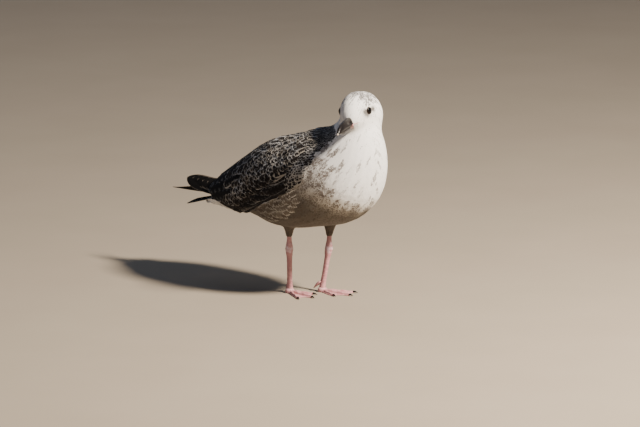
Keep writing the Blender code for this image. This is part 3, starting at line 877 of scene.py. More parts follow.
@dataclass
class Markings:
    """The plumage pattern of a bird in its first winter, read at any place on its surface."""

    eyes: list[EyePlace]
    seed: int = 11
    mantle_front: tuple[tuple[float, float], ...] = (
        (196, -50), (208, -60), (218, -70), (233, -90), (242, -94), (250, -88), (256, -66),
    )
    mantle_side: tuple[tuple[float, float], ...] = ((-62, 62), (-38, 40), (0, 30), (100, 30))
    mantle_end: float = 132.0

    def upperparts(self, points: Array, wing: Array) -> Array:
        """1 on the dark mantle and wings, 0 on the pale parts."""
        y, z = points[:, 1], points[:, 2]
        angle = np.degrees(np.arctan2(np.abs(points[:, 0]), z - (WING_AXIS[0] + WING_AXIS[1] * y)))
        front = between(self.mantle_front, z)[0]
        neck = smoothstep(-3.0, 5.0, y - front + 2.5 * ripple(points, 8.0, 5))
        side = smoothstep(10.0, -6.0, angle - between(self.mantle_side, y)[0])
        return np.where(wing, 1.0, np.where(y < -60.0, neck, side) * (y < self.mantle_end))

    def smudge(self, points: Array) -> Array:
        """The dusky feathers before, below and behind each eye."""
        smudge = np.zeros(len(points))
        for eye in self.eyes:
            out = (points - eye.centre) @ HEAD_AXES
            across, forward, up = out[:, 0], -out[:, 1], out[:, 2]
            near = np.exp(-(((forward - 8.5) / 4.5) ** 2) - ((up - 0.8) / 4.5) ** 2)
            below = np.exp(-(((forward - 5.0) / 6.0) ** 2) - ((up + 5.0) / 3.4) ** 2)
            behind = np.exp(-(((forward + 8.0) / 3.4) ** 2) - ((up - 1.0) / 4.5) ** 2)
            same = smoothstep(16.0, 9.0, np.abs(across))
            smudge = np.maximum(smudge, same * (1.5 * near + 0.9 * below + 1.2 * behind))
        return smudge

    def read(self, points: Array, wing: Array, chance: Array, undercoat: bool = False) -> Looks:
        """Markings at some places.

        Args:
            points: Bird millimetres.
            wing: True for the places on the folded wings.
            chance: A random number for each place, 0 to 1.
            undercoat: True for skin, which takes the mean of the pattern.

        Returns:
            The colours and the streak, fringe and notch sizes.
        """
        place = about_spine(points)
        head = head_coordinates(points)
        second, third = (chance * 7.31) % 1.0, (chance * 53.7) % 1.0
        around = np.abs(place.angle)
        y, z = points[:, 1], points[:, 2]
        broad = ripple(points, 26.0, self.seed)
        patch = ripple(points, 9.0, self.seed + 1)
        stroke = strokes(place, 3.4, 9.0, self.seed + 2)

        # regions of the pale parts
        brim = 138.0 + 0.35 * np.clip(y + 110.0, 0.0, 90.0) + 5.0 * patch
        low = smoothstep(brim + 20.0, brim - 12.0, z)
        flank = smoothstep(-122.0, -62.0, y) * smoothstep(222.0, 182.0, z)
        beside = smoothstep(2.6, 1.3, around) * smoothstep(0.60, 0.45, np.abs(place.share - 0.62) * 2.2)
        crown = smoothstep(4.0, 16.0, head[:, 2]) * smoothstep(34.0, 4.0, head[:, 0])
        crown = crown * (0.62 + 0.38 * smoothstep(-20.0, 0.0, head[:, 0]))
        nape = smoothstep(1.1, 0.5, around) * smoothstep(0.60, 0.74, place.share)
        is_head = smoothstep(0.80, 0.86, place.share)
        under_tail = smoothstep(95.0, 125.0, y)
        rear = smoothstep(-88.0, -40.0, y) * smoothstep(196.0, 160.0, z) * (1.0 - under_tail)
        # the lowest belly: brown plumage, darkened further by painted shade
        under = smoothstep(brim + 8.0, brim - 20.0, z) * (1.0 - under_tail)
        shin = smoothstep(112.0, 98.0, z) * (np.abs(y) < 60.0)

        # how many feathers carry a mark
        dense = 0.12 + 0.58 * beside * smoothstep(262.0, 205.0, z) + 0.60 * low + 0.80 * flank
        dense = dense + 0.22 * patch * smoothstep(0.1, 0.3, dense)
        dense = dense * (1.0 - is_head) + is_head * (0.03 + 0.85 * crown)
        dense = np.clip(np.maximum(dense, 0.5 * nape * (1.0 - is_head)), 0.0, 0.95)
        dense = dense * (1.0 - 0.8 * under_tail)

        # how brown the ground is, and where painted shade darkens it
        brown = 0.42 * flank + 0.80 * low * smoothstep(-135.0, -85.0, y) + 0.18 * broad * low
        brown = np.clip(brown, 0.0, 0.9)
        ground = part_way(Hue.SNOW.rgb, Hue.CREAM.rgb, np.clip(low * 0.8 + 0.25 * flank, 0, 1))
        ground = part_way(ground, Hue.ASH.rgb, brown * (1.0 - under_tail))
        # the lower flanks and vent: brown plumage, darkened further by painted shade
        ground = part_way(ground, Hue.BELLY.rgb * 0.75, 0.62 * rear)
        # painted shade: the lowest belly's ground is darkened far past its own brown
        ground = part_way(ground, Hue.BELLY.rgb * 0.38, 0.88 * under)
        # the feathered shins: dark brown plumage, partly painted shade
        ground = part_way(ground, Hue.BELLY.rgb * 0.5, 0.85 * shin)
        # the crown's ground is tinted cool grey: partly its grey flecking, partly painted bluish shade
        ground = part_way(ground, Hue.FRINGE.rgb, 0.30 * crown * is_head)
        smudge = np.clip(self.smudge(points) * (0.9 + 0.12 * patch + 0.3 * (second - 0.5)), 0.0, 0.92)
        ground = part_way(ground, Hue.SMUDGE.rgb, smudge)

        # streaks
        fleck = 0.55 * strokes(place, 1.7, 3.4, self.seed + 3) + 0.5 * (chance - 0.5)
        drawn = np.where(is_head > 0.5, fleck, 0.42 * stroke + 0.24 * (chance - 0.5))
        drawn = np.clip(0.5 + drawn, 0.0, 1.0)
        shown = drawn > 0.82 - dense
        strength = smoothstep(-0.18, 0.26, drawn - 1.0 + dense)
        mark = part_way(Hue.STREAK.rgb, Hue.FLECK.rgb, smoothstep(0.76, 0.86, place.share))
        # the marks are darkened on the lowest belly by painted shade
        mark = mark * (0.8 + 0.4 * second - 0.4 * under - 0.25 * is_head)[:, None]
        mark = part_way(mark, ground, 1.0 - strength * (0.65 + 0.3 * third))
        streak = np.where(shown, 0.40 + 0.5 * strength + 0.2 * third, 0.0)

        # below and behind, marks spread into brown centres with pale fringes
        spread = np.clip(flank * 0.8 + low, 0.0, 1.0) * (1.0 - is_head)
        as_field = shown & (second < spread)
        fringe = np.where(as_field, 0.10 + 0.16 * third, 2.0)
        streak = np.where(as_field, 0.0, streak)
        mark = part_way(mark, Hue.BELLY.rgb, np.where(as_field, 0.3 * third, 0.0))
        notch = np.where(as_field, 0.6, 0.0)

        # dark centres and pale fringes above
        upper = self.upperparts(points, wing)
        is_upper = second * 0.5 + 0.25 < upper
        pale = part_way(Hue.FRINGE.rgb, Hue.BUFF.rgb, np.clip(0.3 + 0.3 * broad, 0, 1))
        dark = part_way(Hue.UMBER.rgb, Hue.SLATE.rgb, np.clip(0.5 + 0.4 * broad, 0, 1))
        ground = np.where(is_upper[:, None], pale * (0.5 + 0.5 * third[:, None]), ground)
        mark = np.where(is_upper[:, None], dark * (0.8 + 0.5 * second[:, None]), mark)
        # the bend of the wing gets wider pale fringes: partly its paler coverts, partly a painted patch of
        # sunlight
        bend = np.exp(-(((y + 54.0) / 22.0) ** 2) - ((z - 188.0) / 15.0) ** 2)
        bend = bend * smoothstep(45.0, 58.0, np.abs(points[:, 0]))
        fringe = np.where(is_upper, 0.04 + 0.10 * third + 0.03 * patch + 0.16 * bend, fringe)
        notch = np.where(is_upper, 0.5 + 0.5 * chance, notch)
        streak = np.where(is_upper, 0.0, streak)
        if undercoat:
            streak = np.where(upper > 0.5, 0.75, np.clip(dense * 0.45, 0.0, 0.5))
            ground = np.where(is_upper[:, None], 0.75 * mark + 0.25 * ground, ground)
        return Looks(ground, mark, np.stack([streak, fringe, notch], axis=1))


# ---------------------------------------------------------------- feathers

@dataclass(frozen=True)
class Vane:
    """One feather as a thin closed lens of length 1 along +Y and width 1."""

    columns: int = 5
    rows: int = 5
    widest: float = 0.55
    root: float = 0.35
    tip: float = 0.25
    camber: float = 0.012
    thick: float = 0.008
    ragged: float = 0.0
    shoulder: float = 0.10
    seed: int = 0

    def half(self, v: Array) -> Array:
        """Half-width at places along the vane."""
        rise = self.root + (1.0 - self.root) * np.sin(np.clip(v / self.widest, 0, 1) * math.pi / 2)
        over = np.clip((v - self.widest) / (1.0 - self.widest), 0, 1)
        fall = self.tip + (1.0 - self.tip) * np.sqrt(np.maximum(0.0, 1.0 - over**2))
        return 0.5 * np.where(v < self.widest, rise, fall)

    def grid(self) -> tuple[Array, Array, Array, list[tuple[int, ...]]]:
        """Across and along places, heights, and the faces of the closed lens."""
        u = np.linspace(-1.0, 1.0, self.columns)
        v = 1.0 - (1.0 - np.linspace(0.0, 1.0, self.rows)) ** 1.35
        chance = np.random.default_rng(self.seed)
        across, along = np.meshgrid(u, v)
        cut = chance.uniform(0.0, self.ragged, self.columns) + self.shoulder * np.abs(u) ** 2
        along = along * (1.0 - cut[None, :] * along**3)
        arch = 1.0 - across**2
        swell = np.sin(np.clip(along, 0, 1) * math.pi * 0.9 + 0.15)
        top = self.camber * arch + self.thick * arch * swell
        low = self.camber * arch - self.thick * 0.5 * arch
        index = np.arange(self.rows * self.columns).reshape(self.rows, self.columns)
        under = index.copy()
        inner = (slice(1, -1), slice(1, -1))
        under[inner] = np.arange(index[inner].size).reshape(index[inner].shape) + index.size
        faces = []
        for i in range(self.rows - 1):
            for j in range(self.columns - 1):
                faces.append((index[i, j], index[i, j + 1], index[i + 1, j + 1], index[i + 1, j]))
                faces.append((under[i, j], under[i + 1, j], under[i + 1, j + 1], under[i, j + 1]))
        us = np.concatenate([across.ravel(), across[inner].ravel()])
        vs = np.concatenate([along.ravel(), along[inner].ravel()])
        return us, vs, np.concatenate([top.ravel(), low[inner].ravel()]), faces

    @staticmethod
    def map_places(us: Array, vs: Array) -> Array:
        """Across and along places as a map from 0 to 1."""
        return np.stack([(us + 1.0) / 2.0, vs], axis=1)

    def template(self, name: str) -> Thing:
        """The flat feather that the coat's tree repeats, with its rise and place along it."""
        us, vs, high, faces = self.grid()
        points = np.stack([us * self.half(vs), vs, np.zeros(len(us))], axis=1)
        mesh = bpy.data.meshes.new(name)
        mesh.from_pydata(points.tolist(), [], faces)
        put_attribute(mesh, "rise", "FLOAT", high)
        put_attribute(mesh, "along", "FLOAT", vs)
        put_map(mesh, "Vane", self.map_places(us, vs)[corner_vertices(mesh)])
        return linked(name, mesh)


class CoatTree:
    """The Geometry Nodes tree that lays small feathers over a patch of the outline."""

    INPUTS = (
        ("Patch", "NodeSocketGeometry", None), ("Spacing", "NodeSocketFloat", 0.004),
        ("Width", "NodeSocketFloat", 0.62), ("Turn", "NodeSocketFloat", 0.12),
        ("Lift", "NodeSocketFloat", 0.02), ("Uneven", "NodeSocketFloat", 0.15),
        ("Seed", "NodeSocketInt", 1), ("First feather", "NodeSocketObject", None),
        ("Second feather", "NodeSocketObject", None), ("Third feather", "NodeSocketObject", None),
        ("Outline", "NodeSocketObject", None), ("Finish", "NodeSocketMaterial", None),
    )

    def __init__(self) -> None:
        """Builds the tree."""
        self.tree = bpy.data.node_groups.new("Coat", "GeometryNodeTree")
        self.keys = {}
        for name, kind, value in self.INPUTS:
            made = self.tree.interface.new_socket(name=name, in_out="INPUT", socket_type=kind)
            if value is not None:
                made.default_value = value
            self.keys[name] = made.identifier
        self.tree.interface.new_socket(name="Coat", in_out="OUTPUT", socket_type="NodeSocketGeometry")
        self.nodes = TreeWriter(self.tree)
        start = self.nodes.add("NodeGroupInput")
        self.given = {name: self.nodes.out(start, name) for name in self.keys}
        self.write()

    def named(self, name: str, kind: str = "FLOAT") -> Socket:
        """A named attribute of the points."""
        inputs = {"Name": name}
        return self.nodes.make("GeometryNodeInputNamedAttribute", inputs, "Attribute", data_type=kind)

    def keep(self, geometry: Socket, name: str, value: Socket, kind: str = "FLOAT") -> Socket:
        """Stores a value on the points."""
        inputs = {"Geometry": geometry, "Name": name, "Value": value}
        return self.nodes.make("GeometryNodeStoreNamedAttribute", inputs, data_type=kind, domain="POINT")

    def chance(self, low: object, high: object, seed: int, kind: str = "FLOAT") -> Socket:
        """A random number for each point."""
        inputs = {"Min": low, "Max": high, "Seed": self.nodes.plus(self.given["Seed"], float(seed))}
        return self.nodes.make("FunctionNodeRandomValue", inputs, "Value", data_type=kind)

    def shape(self, name: str, as_instance: bool = True) -> Socket:
        """The mesh of an object that is given."""
        inputs = {"Object": self.given[name], "As Instance": as_instance}
        return self.nodes.make("GeometryNodeObjectInfo", inputs, "Geometry")

    def scattered(self) -> tuple[Socket, Socket]:
        """The feathers' roots with their own length, place and chances, and the normals there."""
        nodes, given = self.nodes, self.given
        scatter = nodes.add("GeometryNodeDistributePointsOnFaces", distribute_method="POISSON")
        nodes.put(scatter, "Mesh", given["Patch"])
        nodes.put(scatter, "Distance Min", given["Spacing"])
        nodes.put(scatter, "Density Max", 4.0e6)
        nodes.put(scatter, "Seed", given["Seed"])
        uneven, more = nodes.less(1.0, given["Uneven"]), nodes.plus(1.0, given["Uneven"])
        span = nodes.times(self.named("span"), self.chance(uneven, more, 101))
        points = self.keep(nodes.out(scatter, "Points"), "span", span)
        points = self.keep(points, "root", nodes.make("GeometryNodeInputPosition"), "FLOAT_VECTOR")
        points = self.keep(points, "tone", self.chance(0.0, 1.0, 102))
        points = self.keep(points, "lay", self.chance(0.0, 1.0, 104))
        return points, nodes.out(scatter, "Normal")

    def laid(self, points: Socket, normal: Socket) -> Socket:
        """One flat feather on each root, turned to the lie of the coat and made real."""
        nodes, given = self.nodes, self.given
        axes = {"Primary Axis": normal, "Secondary Axis": self.named("flow", "FLOAT_VECTOR")}
        turn = nodes.make("FunctionNodeAxesToRotation", axes, primary_axis="Z", secondary_axis="Y")
        swing = self.chance(nodes.times(given["Turn"], -1.0), given["Turn"], 103)
        little = {"Axis": (0.0, 0.0, 1.0), "Angle": swing}
        both = {"Rotation": turn, "Rotate By": nodes.make("FunctionNodeAxisAngleToRotation", little)}
        size = self.named("span")
        wide = nodes.times(size, given["Width"])
        choice = nodes.add("GeometryNodeJoinGeometry")
        for name in ("Third feather", "Second feather", "First feather"):
            self.tree.links.new(self.shape(name), choice.inputs[0])
        feathers = nodes.make("GeometryNodeInstanceOnPoints", {
            "Points": points, "Instance": choice.outputs[0], "Pick Instance": True,
            "Instance Index": self.chance(0, 2, 105, "INT"),
            "Rotation": nodes.make("FunctionNodeRotateRotation", both, rotation_space="LOCAL"),
            "Scale": nodes.make("ShaderNodeCombineXYZ", {0: wide, 1: size, 2: size}),
        })
        return nodes.make("GeometryNodeRealizeInstances", {"Geometry": feathers})

    def bent(self, real: Socket) -> Socket:
        """The feathers bent onto the outline, their tips lifted and their roots sunk."""
        nodes = self.nodes
        target = self.shape("Outline", as_instance=False)
        spot = nodes.make("GeometryNodeInputPosition")
        near = {0: target, "Sample Position": spot}
        near = nodes.make("GeometryNodeProximity", near, "Position", target_element="FACES")
        up = {"Mesh": target, "Value": nodes.make("GeometryNodeInputNormal"), "Sample Position": spot}
        up = nodes.make("GeometryNodeSampleNearestSurface", up, "Value", data_type="FLOAT_VECTOR")
        along = self.named("along")
        tip = nodes.times(self.given["Lift"], nodes.times(along, nodes.plus(0.5, self.named("lay"))))
        height = nodes.times(self.named("span"), nodes.plus(self.named("rise"), tip))
        back = nodes.math("POWER", nodes.less(1.0, along, clamp=True), 2.4)
        height = nodes.less(height, nodes.times(self.named("depth"), back))
        push = nodes.add("ShaderNodeVectorMath", operation="SCALE")
        nodes.put(push, "Vector", up)
        nodes.put(push, "Scale", height)
        sit = nodes.make("ShaderNodeVectorMath", {0: near, 1: push.outputs[0]}, operation="ADD")
        real = self.keep(real, "form", up, "FLOAT_VECTOR")
        return nodes.make("GeometryNodeSetPosition", {"Geometry": real, "Position": sit})

    def write(self) -> None:
        """Scatters, turns and bends the feathers, shades them smooth and gives them their finish."""
        feathers = self.bent(self.laid(*self.scattered()))
        soft = self.nodes.make("GeometryNodeSetShadeSmooth", {"Geometry": feathers})
        done = {"Geometry": soft, "Material": self.given["Finish"]}
        done = self.nodes.make("GeometryNodeSetMaterial", done)
        self.nodes.put(self.nodes.add("NodeGroupOutput"), 0, done)


@dataclass(frozen=True)
class CoatPatch:
    """A stretch of coat: where it lies and how its feathers are set."""

    name: str
    where: Callable[["CoatField"], Array]
    spacing: float
    finish: Finish
    shapes: tuple[Vane, ...]
    seed: int
    width: float = 0.62
    turn: float = 0.20
    lift: float = 0.015
    softness: float = 0.7


@dataclass
class CoatField:
    """What a coat patch may ask of the outline's points."""

    points: Array
    wing: Array
    away: Array
    upper: Array
    near_eye: Array

    @property
    def y(self) -> Array:
        """How far back the points lie."""
        return self.points[:, 1]

    @classmethod
    def of(cls, body: Body, points: Array, markings: Markings) -> "CoatField":
        """Reads the outline."""
        wing = body.is_wing()
        near = np.full(len(points), 1e3)
        for eye in body.eyes:
            aside, high = eye.off_axis(points)
            near = np.minimum(near, np.where(high > 0.0, aside - eye.opening, 1e3))
        away = np.linalg.norm(points - in_head(*BILL_ROOT), axis=1)
        return cls(points, wing, away, markings.upperparts(points, wing), near)


@dataclass
class Coat:
    """All the small feathers of the body, in patches."""

    body: Body
    markings: Markings
    outline: Thing
    working: tuple[str, ...] = (
        "flow", "span", "depth", "wing", "root", "tone", "lay", "rise", "along", "form",
    )

    def build(self, patches: Sequence[CoatPatch]) -> None:
        """Lays every patch."""
        tree = CoatTree()
        around = CoatField.of(self.body, points_of(self.outline.data), self.markings)
        flow = lie_of_coat(around.points, around.wing)
        for patch in patches:
            self.lay(patch, tree, around, flow)

    def ground(self, patch: CoatPatch, around: CoatField, flow: Array) -> Thing:
        """The part of the outline that a patch covers, with what its tree reads there."""
        chosen = patch.where(around)
        old = self.outline.data
        faces = [tuple(p.vertices) for p in old.polygons if chosen[list(p.vertices)].mean() > 0.5]
        used = np.unique(np.concatenate([np.array(f) for f in faces]))
        new = np.full(len(old.vertices), -1)
        new[used] = np.arange(len(used))
        points = around.points[used]
        mesh = mesh_of(patch.name + "_ground", points, [tuple(new[list(f)]) for f in faces])
        put_attribute(mesh, "flow", "FLOAT_VECTOR", flow[used])
        put_attribute(mesh, "span", "FLOAT", coat_span(points) * MM)
        put_attribute(mesh, "depth", "FLOAT", coat_depth(points) * MM)
        put_attribute(mesh, "wing", "FLOAT", around.wing[used].astype(float))
        return linked(patch.name, mesh)

    def lay(self, patch: CoatPatch, tree: CoatTree, around: CoatField, flow: Array) -> Thing:
        """Lays one patch and turns it into a plain mesh with its colours and maps."""
        thing = self.ground(patch, around, flow)
        feathers = [shape.template(f"{patch.name}_{k}") for k, shape in enumerate(patch.shapes)]
        layer = thing.modifiers.new("Coat", "NODES")
        layer.node_group = tree.tree
        values = {
            "Spacing": patch.spacing * MM, "Width": patch.width, "Turn": patch.turn, "Lift": patch.lift,
            "Seed": patch.seed, "First feather": feathers[0], "Second feather": feathers[1],
            "Third feather": feathers[2], "Outline": self.outline, "Finish": patch.finish.build(),
        }
        for name, value in values.items():
            layer[tree.keys[name]] = value
        bpy.context.view_layer.update()
        mesh = plain_mesh(thing)
        mesh.name = patch.name
        for feather in feathers:
            bpy.data.objects.remove(feather)
        self.colour(mesh, patch)
        return on_bird(thing, patch.finish)

    def colour(self, mesh: Mesh, patch: CoatPatch) -> None:
        """Writes markings and the OFBake map of a laid patch."""
        tone = read_attribute(mesh, "tone", 1)
        _, first, which = np.unique(tone, return_index=True, return_inverse=True)
        # a feather is marked as the body is under the outer part of its vane
        outer = (read_attribute(mesh, "along", 1) > 0.6).astype(float)
        points = points_of(mesh)
        amount = np.bincount(which, outer)
        middle = np.stack([np.bincount(which, outer * points[:, k]) / amount for k in range(3)], axis=1)
        wing = read_attribute(mesh, "wing", 1) > 0.5
        self.markings.read(middle, wing[first], tone[first].astype(float)).write(mesh, which)
        roots = bake_places(bird(read_attribute(mesh, "root", 3)))[corner_vertices(mesh)]
        vane = rows_of(mesh.uv_layers["Vane"].data, "uv", 2)
        put_map(mesh, "OFBake", roots + (vane - 0.5) * SMALL_PATCH)
        self.soften(mesh, patch.softness)
        for name in self.working:
            if name in mesh.attributes:
                mesh.attributes.remove(mesh.attributes[name])
        mesh.materials.clear()
        mesh.materials.append(patch.finish.build())
        mesh.polygons.foreach_set("material_index", np.zeros(len(mesh.polygons), np.int32))

    @staticmethod
    def soften(mesh: Mesh, share: float) -> None:
        """Leans the shading normals of the upper sides towards the body's form, as down does."""
        faces = corner_vertices(mesh).reshape(-1, 4)
        points = points_of(mesh)
        form = read_attribute(mesh, "form", 3).astype(float)
        tops = (face_normals(points, faces) * form[faces[:, 0]]).sum(1) > 0.0
        mesh.normals_split_custom_set(vane_normals(points, faces, tops, form, share))


def bake_places(roots: Array) -> Array:
    """Roots on an unwrap of the skin: round the spine and along it, filling the square."""
    place = about_spine(roots)
    flat = np.stack([place.angle, place.share], axis=1)
    low, high = flat.min(0), flat.max(0)
    return 0.01 + 0.98 * (flat - low) / np.maximum(high - low, 1e-6)


# ---------------------------------------------------------------- large feathers

def face_normals(points: Array, faces: Array) -> Array:
    """Normals of four-cornered faces, as long as twice their areas."""
    a, b, c, d = (points[faces[:, k]] for k in range(4))
    return np.cross(c - a, d - b)


def vane_normals(
    points: Array, faces: Array, tops: Array, form: Array | None = None, share: float = 0.0
) -> list[list[float]]:
    """Normals at every face corner of thin feathers, so that their rims stay crisp.

    Args:
        points: The vertices.
        faces: Four vertex numbers for each face.
        tops: True for the faces of the upper sides.
        form: The body's own normal at each vertex, for the upper sides to lean to.
        share: How far they lean to it.

    Returns:
        One unit normal for each corner.
    """
    normal = face_normals(points, faces)
    over, under = np.zeros(points.shape), np.zeros(points.shape)
    for k in range(4):
        for axis in range(3):
            over[:, axis] += np.bincount(faces[tops, k], normal[tops, axis], len(points))
            under[:, axis] += np.bincount(faces[~tops, k], normal[~tops, axis], len(points))
    over, under = unit(over + 1e-15), unit(under + 1e-15)
    if form is not None:
        over = unit(over * (1.0 - share) + form * share)
    corners = faces.ravel()
    return np.where(np.repeat(tops, 4)[:, None], over[corners], under[corners]).tolist()


class Plumes:
    """Large feathers gathered into one piece, each with its own markings."""

    def __init__(self, name: str, finish: Finish) -> None:
        """Starts empty."""
        self.name, self.finish = name, finish
        self.points: list[Array] = []
        self.faces: list[tuple[int, ...]] = []
        self.places: list[Array] = []
        self.roots: list[Array] = []
        self.looks: list[Looks] = []
        self.count = 0

    def add(self, laid: Laid, looks: Looks) -> None:
        """Adds a feather: its points, faces and map places, and its looks at each point."""
        points, faces, places = laid
        self.faces.extend(tuple(int(i) + self.count for i in face) for face in faces)
        self.count += len(points)
        self.points.append(points)
        self.places.append(places)
        self.roots.append(np.repeat(points[:1], len(points), axis=0))
        self.looks.append(looks)

    def build(self, *nodes: str, patch: float) -> Thing:
        """The finished piece, standing for some CAD nodes.

        Args:
            *nodes: Names of the CAD nodes.
            patch: Width of one feather on the OFBake map.

        Returns:
            The piece, riding on the bird.
        """
        points, places = np.concatenate(self.points), np.concatenate(self.places)
        mesh = mesh_of(self.name, points, self.faces)
        shade_smooth(mesh)
        Looks(
            np.concatenate([one.ground for one in self.looks]),
            np.concatenate([one.mark for one in self.looks]),
            np.concatenate([one.layout for one in self.looks]),
        ).write(mesh, np.arange(len(points)))
        corner = corner_vertices(mesh)
        put_map(mesh, "Vane", places[corner])
        spots = bake_places(np.concatenate(self.roots)) * (1.0 - patch) + patch / 2
        put_map(mesh, "OFBake", spots[corner] + (places[corner] - 0.5) * patch)
        faces = np.array(self.faces)
        mesh.update()
        mesh.normals_split_custom_set(vane_normals(points, faces, np.arange(len(faces)) % 2 == 0))
        return piece(self.name, mesh, self.finish, *nodes)


@dataclass
class Layer:
    """Lays single feathers over the outline."""

    surface: Surface
    steps: int = 14

    def march(
        self, root: Array, heading: Array, length: float, bend: float, free: float
    ) -> tuple[Array, Array, Array]:
        """Follows the surface from a root.

        Args:
            root: Where the feather starts.
            heading: Which way it points.
            length: How long it is.
            bend: Degrees it turns to its right over its length.
            free: Share of the length after which it leaves the surface and runs straight.

        Returns:
            Places, normals and directions at each step.
        """
        place, normal = self.surface.nearest(root)
        way = unit(heading - (heading @ normal) * normal)
        places, normals, ways = [place], [normal], [way]
        step, turn = length / self.steps, math.radians(bend / self.steps)
        for k in range(self.steps):
            ahead = place + way * step
            if k / self.steps < free:
                after, lifted = self.surface.nearest(ahead)
                normal = unit(normal * 0.4 + lifted * 0.6)
                way = unit(after - place)
                place = self.surface.nearest(place + way * step)[0]
            else:
                place = ahead
            way = unit(way * math.cos(turn) + np.cross(way, normal) * math.sin(turn))
            way = unit(way - (way @ normal) * normal)
            places.append(place)
            normals.append(normal)
            ways.append(way)
        return np.array(places), np.array(normals), np.array(ways)

    def lay(
        self, vane: Vane, root: Array, heading: Array, size: tuple[float, float],
        heights: tuple[float, float], bend: float = 0.0, free: float = 2.0,
    ) -> Laid:
        """One feather bent onto the surface.

        Args:
            vane: Its shape.
            root: Where it starts.
            heading: Which way it points.
            size: Its length and width.
            heights: How far its root and its tip lie above the surface.
            bend: Degrees it turns to its right over its length.
            free: Share of the length after which it runs straight.

        Returns:
            Its points, faces and map places.
        """
        us, vs, high, faces = vane.grid()
        width = size[1]
        path = self.march(root, heading, size[0], bend, free)
        along = np.linspace(0.0, 1.0, self.steps + 1)
        shaft, normal, way = (
            np.stack([np.interp(vs, along, values[:, k]) for k in range(3)], axis=1) for values in path
        )
        normal = unit(normal)
        flat = shaft + np.cross(unit(way), normal) * (us * vane.half(vs) * width)[:, None]
        rise = at(heights, vs) + high * width
        points = flat + normal * rise[:, None]
        for i, (q, share) in enumerate(zip(flat, vs)):
            if share < free:
                near, up = self.surface.nearest(q)
                if np.linalg.norm(near - q) < 0.35 * width:
                    points[i] = near + unit(up * 0.5 + normal[i] * 0.5) * rise[i]
        return points, faces, vane.map_places(us, vs)


def even_looks(
    laid: Laid, ground: Array, mark: Array, fringe: float, notch: float, streak: float = 0.0
) -> Looks:
    """The same markings at every vertex of a feather."""
    rows = (ground, mark, np.array([streak, fringe, notch]))
    return Looks(*(np.tile(row, (len(laid[0]), 1)) for row in rows))


def at(pair: tuple[float, float], share: float) -> float:
    """The value at a share of the way from the first of a pair to the second."""
    return pair[0] + (pair[1] - pair[0]) * share


@dataclass(frozen=True)
class FeatherRow:
    """A row or block of like feathers on a folded wing.

    Pairs hold the value at the front and at the rear of the row, but heights those of a
    feather's root and tip; angles start at the lower edge or at the wing's axis.
    """

    ys: tuple[float, float, float]
    angles: tuple[float, ...]
    length: tuple[float, float]
    width: tuple[float, float]
    heights: tuple[float, float]
    droop: float
    fringe: float
    notch: float
    vane: Vane
    from_edge: bool = False
    paler: float = 0.0


def covert_vane(rows: int, ragged: float) -> Vane:
    """The vane of a secondary or a covert."""
    return Vane(5, rows, 0.6, 0.5, 0.1, 0.02, 0.01, ragged)


SECONDARIES = FeatherRow(
    (-24.0, 112.0, 7.0), (-9.0, -18.0), (40.0, 34.0), (12.0, 13.0), (-0.6, 0.5),
    7.0, 0.014, 0.22, covert_vane(9, 0.02), True, -0.5,
)
# greater, median and lesser coverts, each row over the one below
COVERTS = (
    FeatherRow(
        (-44.0, 106.0, 6.2), (-25.0,), (30.0, 35.0), (12.0, 14.0), (-0.5, 0.9),
        15.0, 0.026, 0.25, covert_vane(8, 0.03), True, -0.2,
    ),
    FeatherRow(
        (-50.0, 96.0, 5.8), (-33.0,), (23.0, 27.0), (11.0, 13.0), (-0.5, 1.1),
        20.0, 0.045, 0.5, covert_vane(7, 0.05), True,
    ),
    FeatherRow(
        (-55.0, 80.0, 5.4), (-41.0, -49.0), (18.0, 21.0), (9.5, 11.0), (-0.5, 1.2),
        22.0, 0.06, 0.7, covert_vane(6, 0.07), True, 0.2,
    ),
    FeatherRow(
        (-58.0, 60.0, 5.0), (-56.0, -63.0, -70.0), (15.0, 17.0), (8.5, 10.0), (-0.5, 1.3),
        18.0, 0.07, 0.7, covert_vane(6, 0.07), True, 0.3,
    ),
)
# station, length, width and fringe of the scapulars, then the angles of each row's feathers;
# from the rear forward, so that the front ones overlie
SCAPULARS = tuple(
    FeatherRow(
        (y, y + 1.0, 9.0), tuple(angles), (long, long + 2.0), (wide, wide + 1.5), (-0.3, 1.3),
        0.0, fringe, 0.75, Vane(6, 8, 0.62, 0.5, 0.04, 0.018, 0.010, 0.05),
    )
    for y, long, wide, fringe, *angles in (
        (96.0, 42.0, 20.0, 0.040, 8, 20, 32, 44, 56, 68),
        (82.0, 40.0, 19.0, 0.042, 3, 14, 26, 38, 50, 62, 74),
        (69.0, 37.0, 18.0, 0.045, 8, 19, 30, 41, 52, 63),
        (56.0, 34.0, 17.0, 0.048, 2, 13, 24, 35, 46, 57, 68),
        (44.0, 31.0, 16.0, 0.050, 8, 18, 29, 40, 51, 62, 72),
        (33.0, 28.0, 15.0, 0.055, 2, 13, 23, 34, 45, 56, 67),
        (22.0, 26.0, 14.0, 0.058, 7, 17, 27, 38, 49, 60, 70),
        (12.0, 24.0, 13.5, 0.060, 2, 12, 22, 32, 43, 54, 65, 75),
        (2.0, 22.0, 13.0, 0.064, 7, 17, 27, 37, 48, 59, 70),
        (-7.0, 20.0, 12.0, 0.066, 4, 13, 22, 32, 42, 53, 64, 74),
        (-16.0, 19.0, 11.5, 0.068, 9, 18, 28, 38, 48, 58, 69),
        (-25.0, 18.0, 11.0, 0.070, 5, 14, 24, 34, 44, 54, 64),
        (-33.0, 17.0, 10.5, 0.072, 10, 20, 30, 40, 50, 60),
        (-41.0, 16.0, 10.0, 0.074, 6, 16, 26, 36, 46, 56, 66),
    )
)
